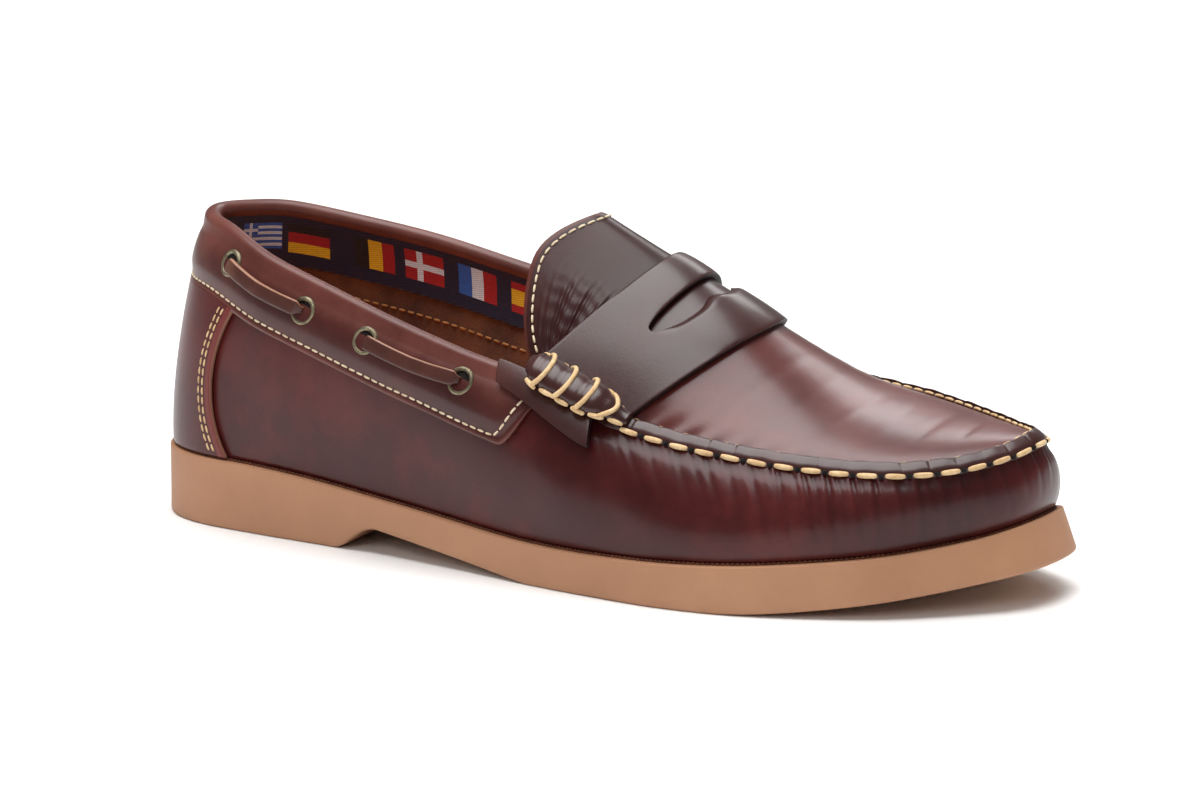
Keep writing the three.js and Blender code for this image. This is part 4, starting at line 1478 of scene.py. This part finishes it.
bm = bmesh.new()
along_ribbon = np.arange(-168, 168.1, 0.5)
across_ribbon = np.arange(4.0, 21.6, 0.5)
woven_along, woven_depth = lay(bm, ribbon_surface, along_ribbon, across_ribbon)
bm.verts.index_update()
centres = []
for face in bm.faces:
    corners = [vert.index for vert in face.verts]
    centres.append((woven_along[corners].mean(), woven_depth[corners].mean()))
print("length of the ribbon:", along_ribbon[-1] - along_ribbon[0], "mm, cells:", len(centres))

# %% Woven cloth: the dyes of the charts, shaded by the ribs of the weave
material, tree, surface = shader("woven_ribbon", Roughness=0.55, Sheen_Weight=0.3)
dyes = add(tree, "Attribute", attribute_name="dye")
place = add(tree, "TexCoord").outputs["Object"]
ribs = {"Vector": place, "Scale": 480.0, "Distortion": 1.5}
threads = add(tree, "TexWave", ribs, bands_direction="Z").outputs["Fac"]
weft = noise(tree, place, 900.0, 2.0)
both = add(tree, "Math", {0: threads, 1: weft}, operation="MULTIPLY").outputs[0]
shade = add(tree, "MapRange", {"Value": both, "To Min": 0.62, "To Max": 1.1})
woven = add(tree, "VectorMath", {0: dyes.outputs["Color"]}, operation="SCALE")
tree.links.new(shade.outputs["Result"], woven.inputs["Scale"])
tree.links.new(woven.outputs[0], surface.inputs["Base Color"])
bump = add(tree, "Bump", {"Height": both, "Strength": 0.4, "Distance": 0.0004})
tree.links.new(bump.outputs["Normal"], surface.inputs["Normal"])
ribbon = piece("ribbon", bm, [material], thick=0.4)

# %% Dyeing the ribbon, one colour for the four corners of each cell
layer = ribbon.data.color_attributes.new("dye", "FLOAT_COLOR", "CORNER")
colours = np.repeat([[*dye_at(along, depth), 1] for along, depth in centres], 4, axis=0)
layer.data.foreach_set("color", colours.astype(np.float32).ravel())
print("corners dyed:", len(colours))

# %% [markdown]
# Inside, a row of tan stitches runs under the ribbon, and a zigzag closes the lining down the
# middle of the heel. The zigzag is the same bead again, leaning to each side in turn.


# %% Stitches inside
def inner_path(depth):
    def path(k):
        point, up, out = wall_frame(k, below(k, depth))
        return point - out * (UPPER_WALL + 0.1), -out
    return path


bm = bmesh.new()
stitch_row(bm, inner_path(28.0), -7.2, 7.2, 3.0, 2.2, 0.75)
piece("lining_stitches", bm, [TAN])

bm = bmesh.new()
for number, depth in enumerate(np.arange(23.0, 50.0, 1.3)):
    sway = 3.0 if number % 2 else -3.0
    place, facing = inner_path(depth)(np.array([0.0]))
    set_beads(bm, place, np.array([[sway, 0.0, -1.6]]), facing, 3.6, 0.8)
piece("heel_zigzag", bm, [CREAM])

# %% [markdown]
# ## Floor and light
# The shoe stands on a pale floor that stays out of its way. Polished leather shows its shape by
# what it mirrors, so the lamps are large soft boxes: one overhead that draws the long highlights
# and one behind. A low one on the near side and a wide sun fill the shadows, and neither is
# mirrored.

# %% Floor
bm = bmesh.new()
bmesh.ops.create_grid(bm, x_segments=1, y_segments=1, size=6)
floor_mesh = bpy.data.meshes.new("floor")
bm.to_mesh(floor_mesh)
bm.free()
floor_mesh.materials.append(plain("pale_floor", (244, 244, 243), (247, 247, 246), 0.45, 3.0, 0.02))
floor = bpy.data.objects.new("floor", floor_mesh)
show(floor)
print("floor is", round(floor.dimensions.x), "m wide")


# %% Soft boxes
def softbox(name, place, aim, size, watts, shines=True):
    light = bpy.data.lights.new(name, "AREA")
    light.shape = "RECTANGLE"
    light.size, light.size_y = size
    light.energy = watts
    made = bpy.data.objects.new(name, light)
    made.location = place
    made.rotation_euler = (Vector(aim) - Vector(place)).to_track_quat("-Z", "Y").to_euler()
    made.visible_glossy = shines
    show(made)
    print(name, watts, "W")


softbox("overhead", (0.05, 0.12, 1.5), (0, 0, 0.05), (1.3, 1.3), 26)
softbox("near_fill", (-1.6, -0.2, 0.95), (0, 0, 0.05), (0.8, 0.8), 8, shines=False)
softbox("far_rim", (1.6, 0.2, 1.1), (0, 0, 0.05), (0.8, 0.5), 5)

# %% Sky and world
sun = bpy.data.lights.new("skylight", "SUN")
sun.energy = 1.7
sun.angle = math.radians(60)
skylight = bpy.data.objects.new("skylight", sun)
skylight.rotation_euler = (math.radians(-6), math.radians(4), 0)
skylight.visible_glossy = False
show(skylight)
world = bpy.data.worlds.new("studio")
bpy.context.scene.world = world
world.use_nodes = True
background = world.node_tree.nodes["Background"]
background.inputs["Color"].default_value = (1, 1, 1, 1)
background.inputs["Strength"].default_value = 0.2
bpy.context.scene.view_settings.view_transform = "Standard"
print("lamps:", len(bpy.data.lights))
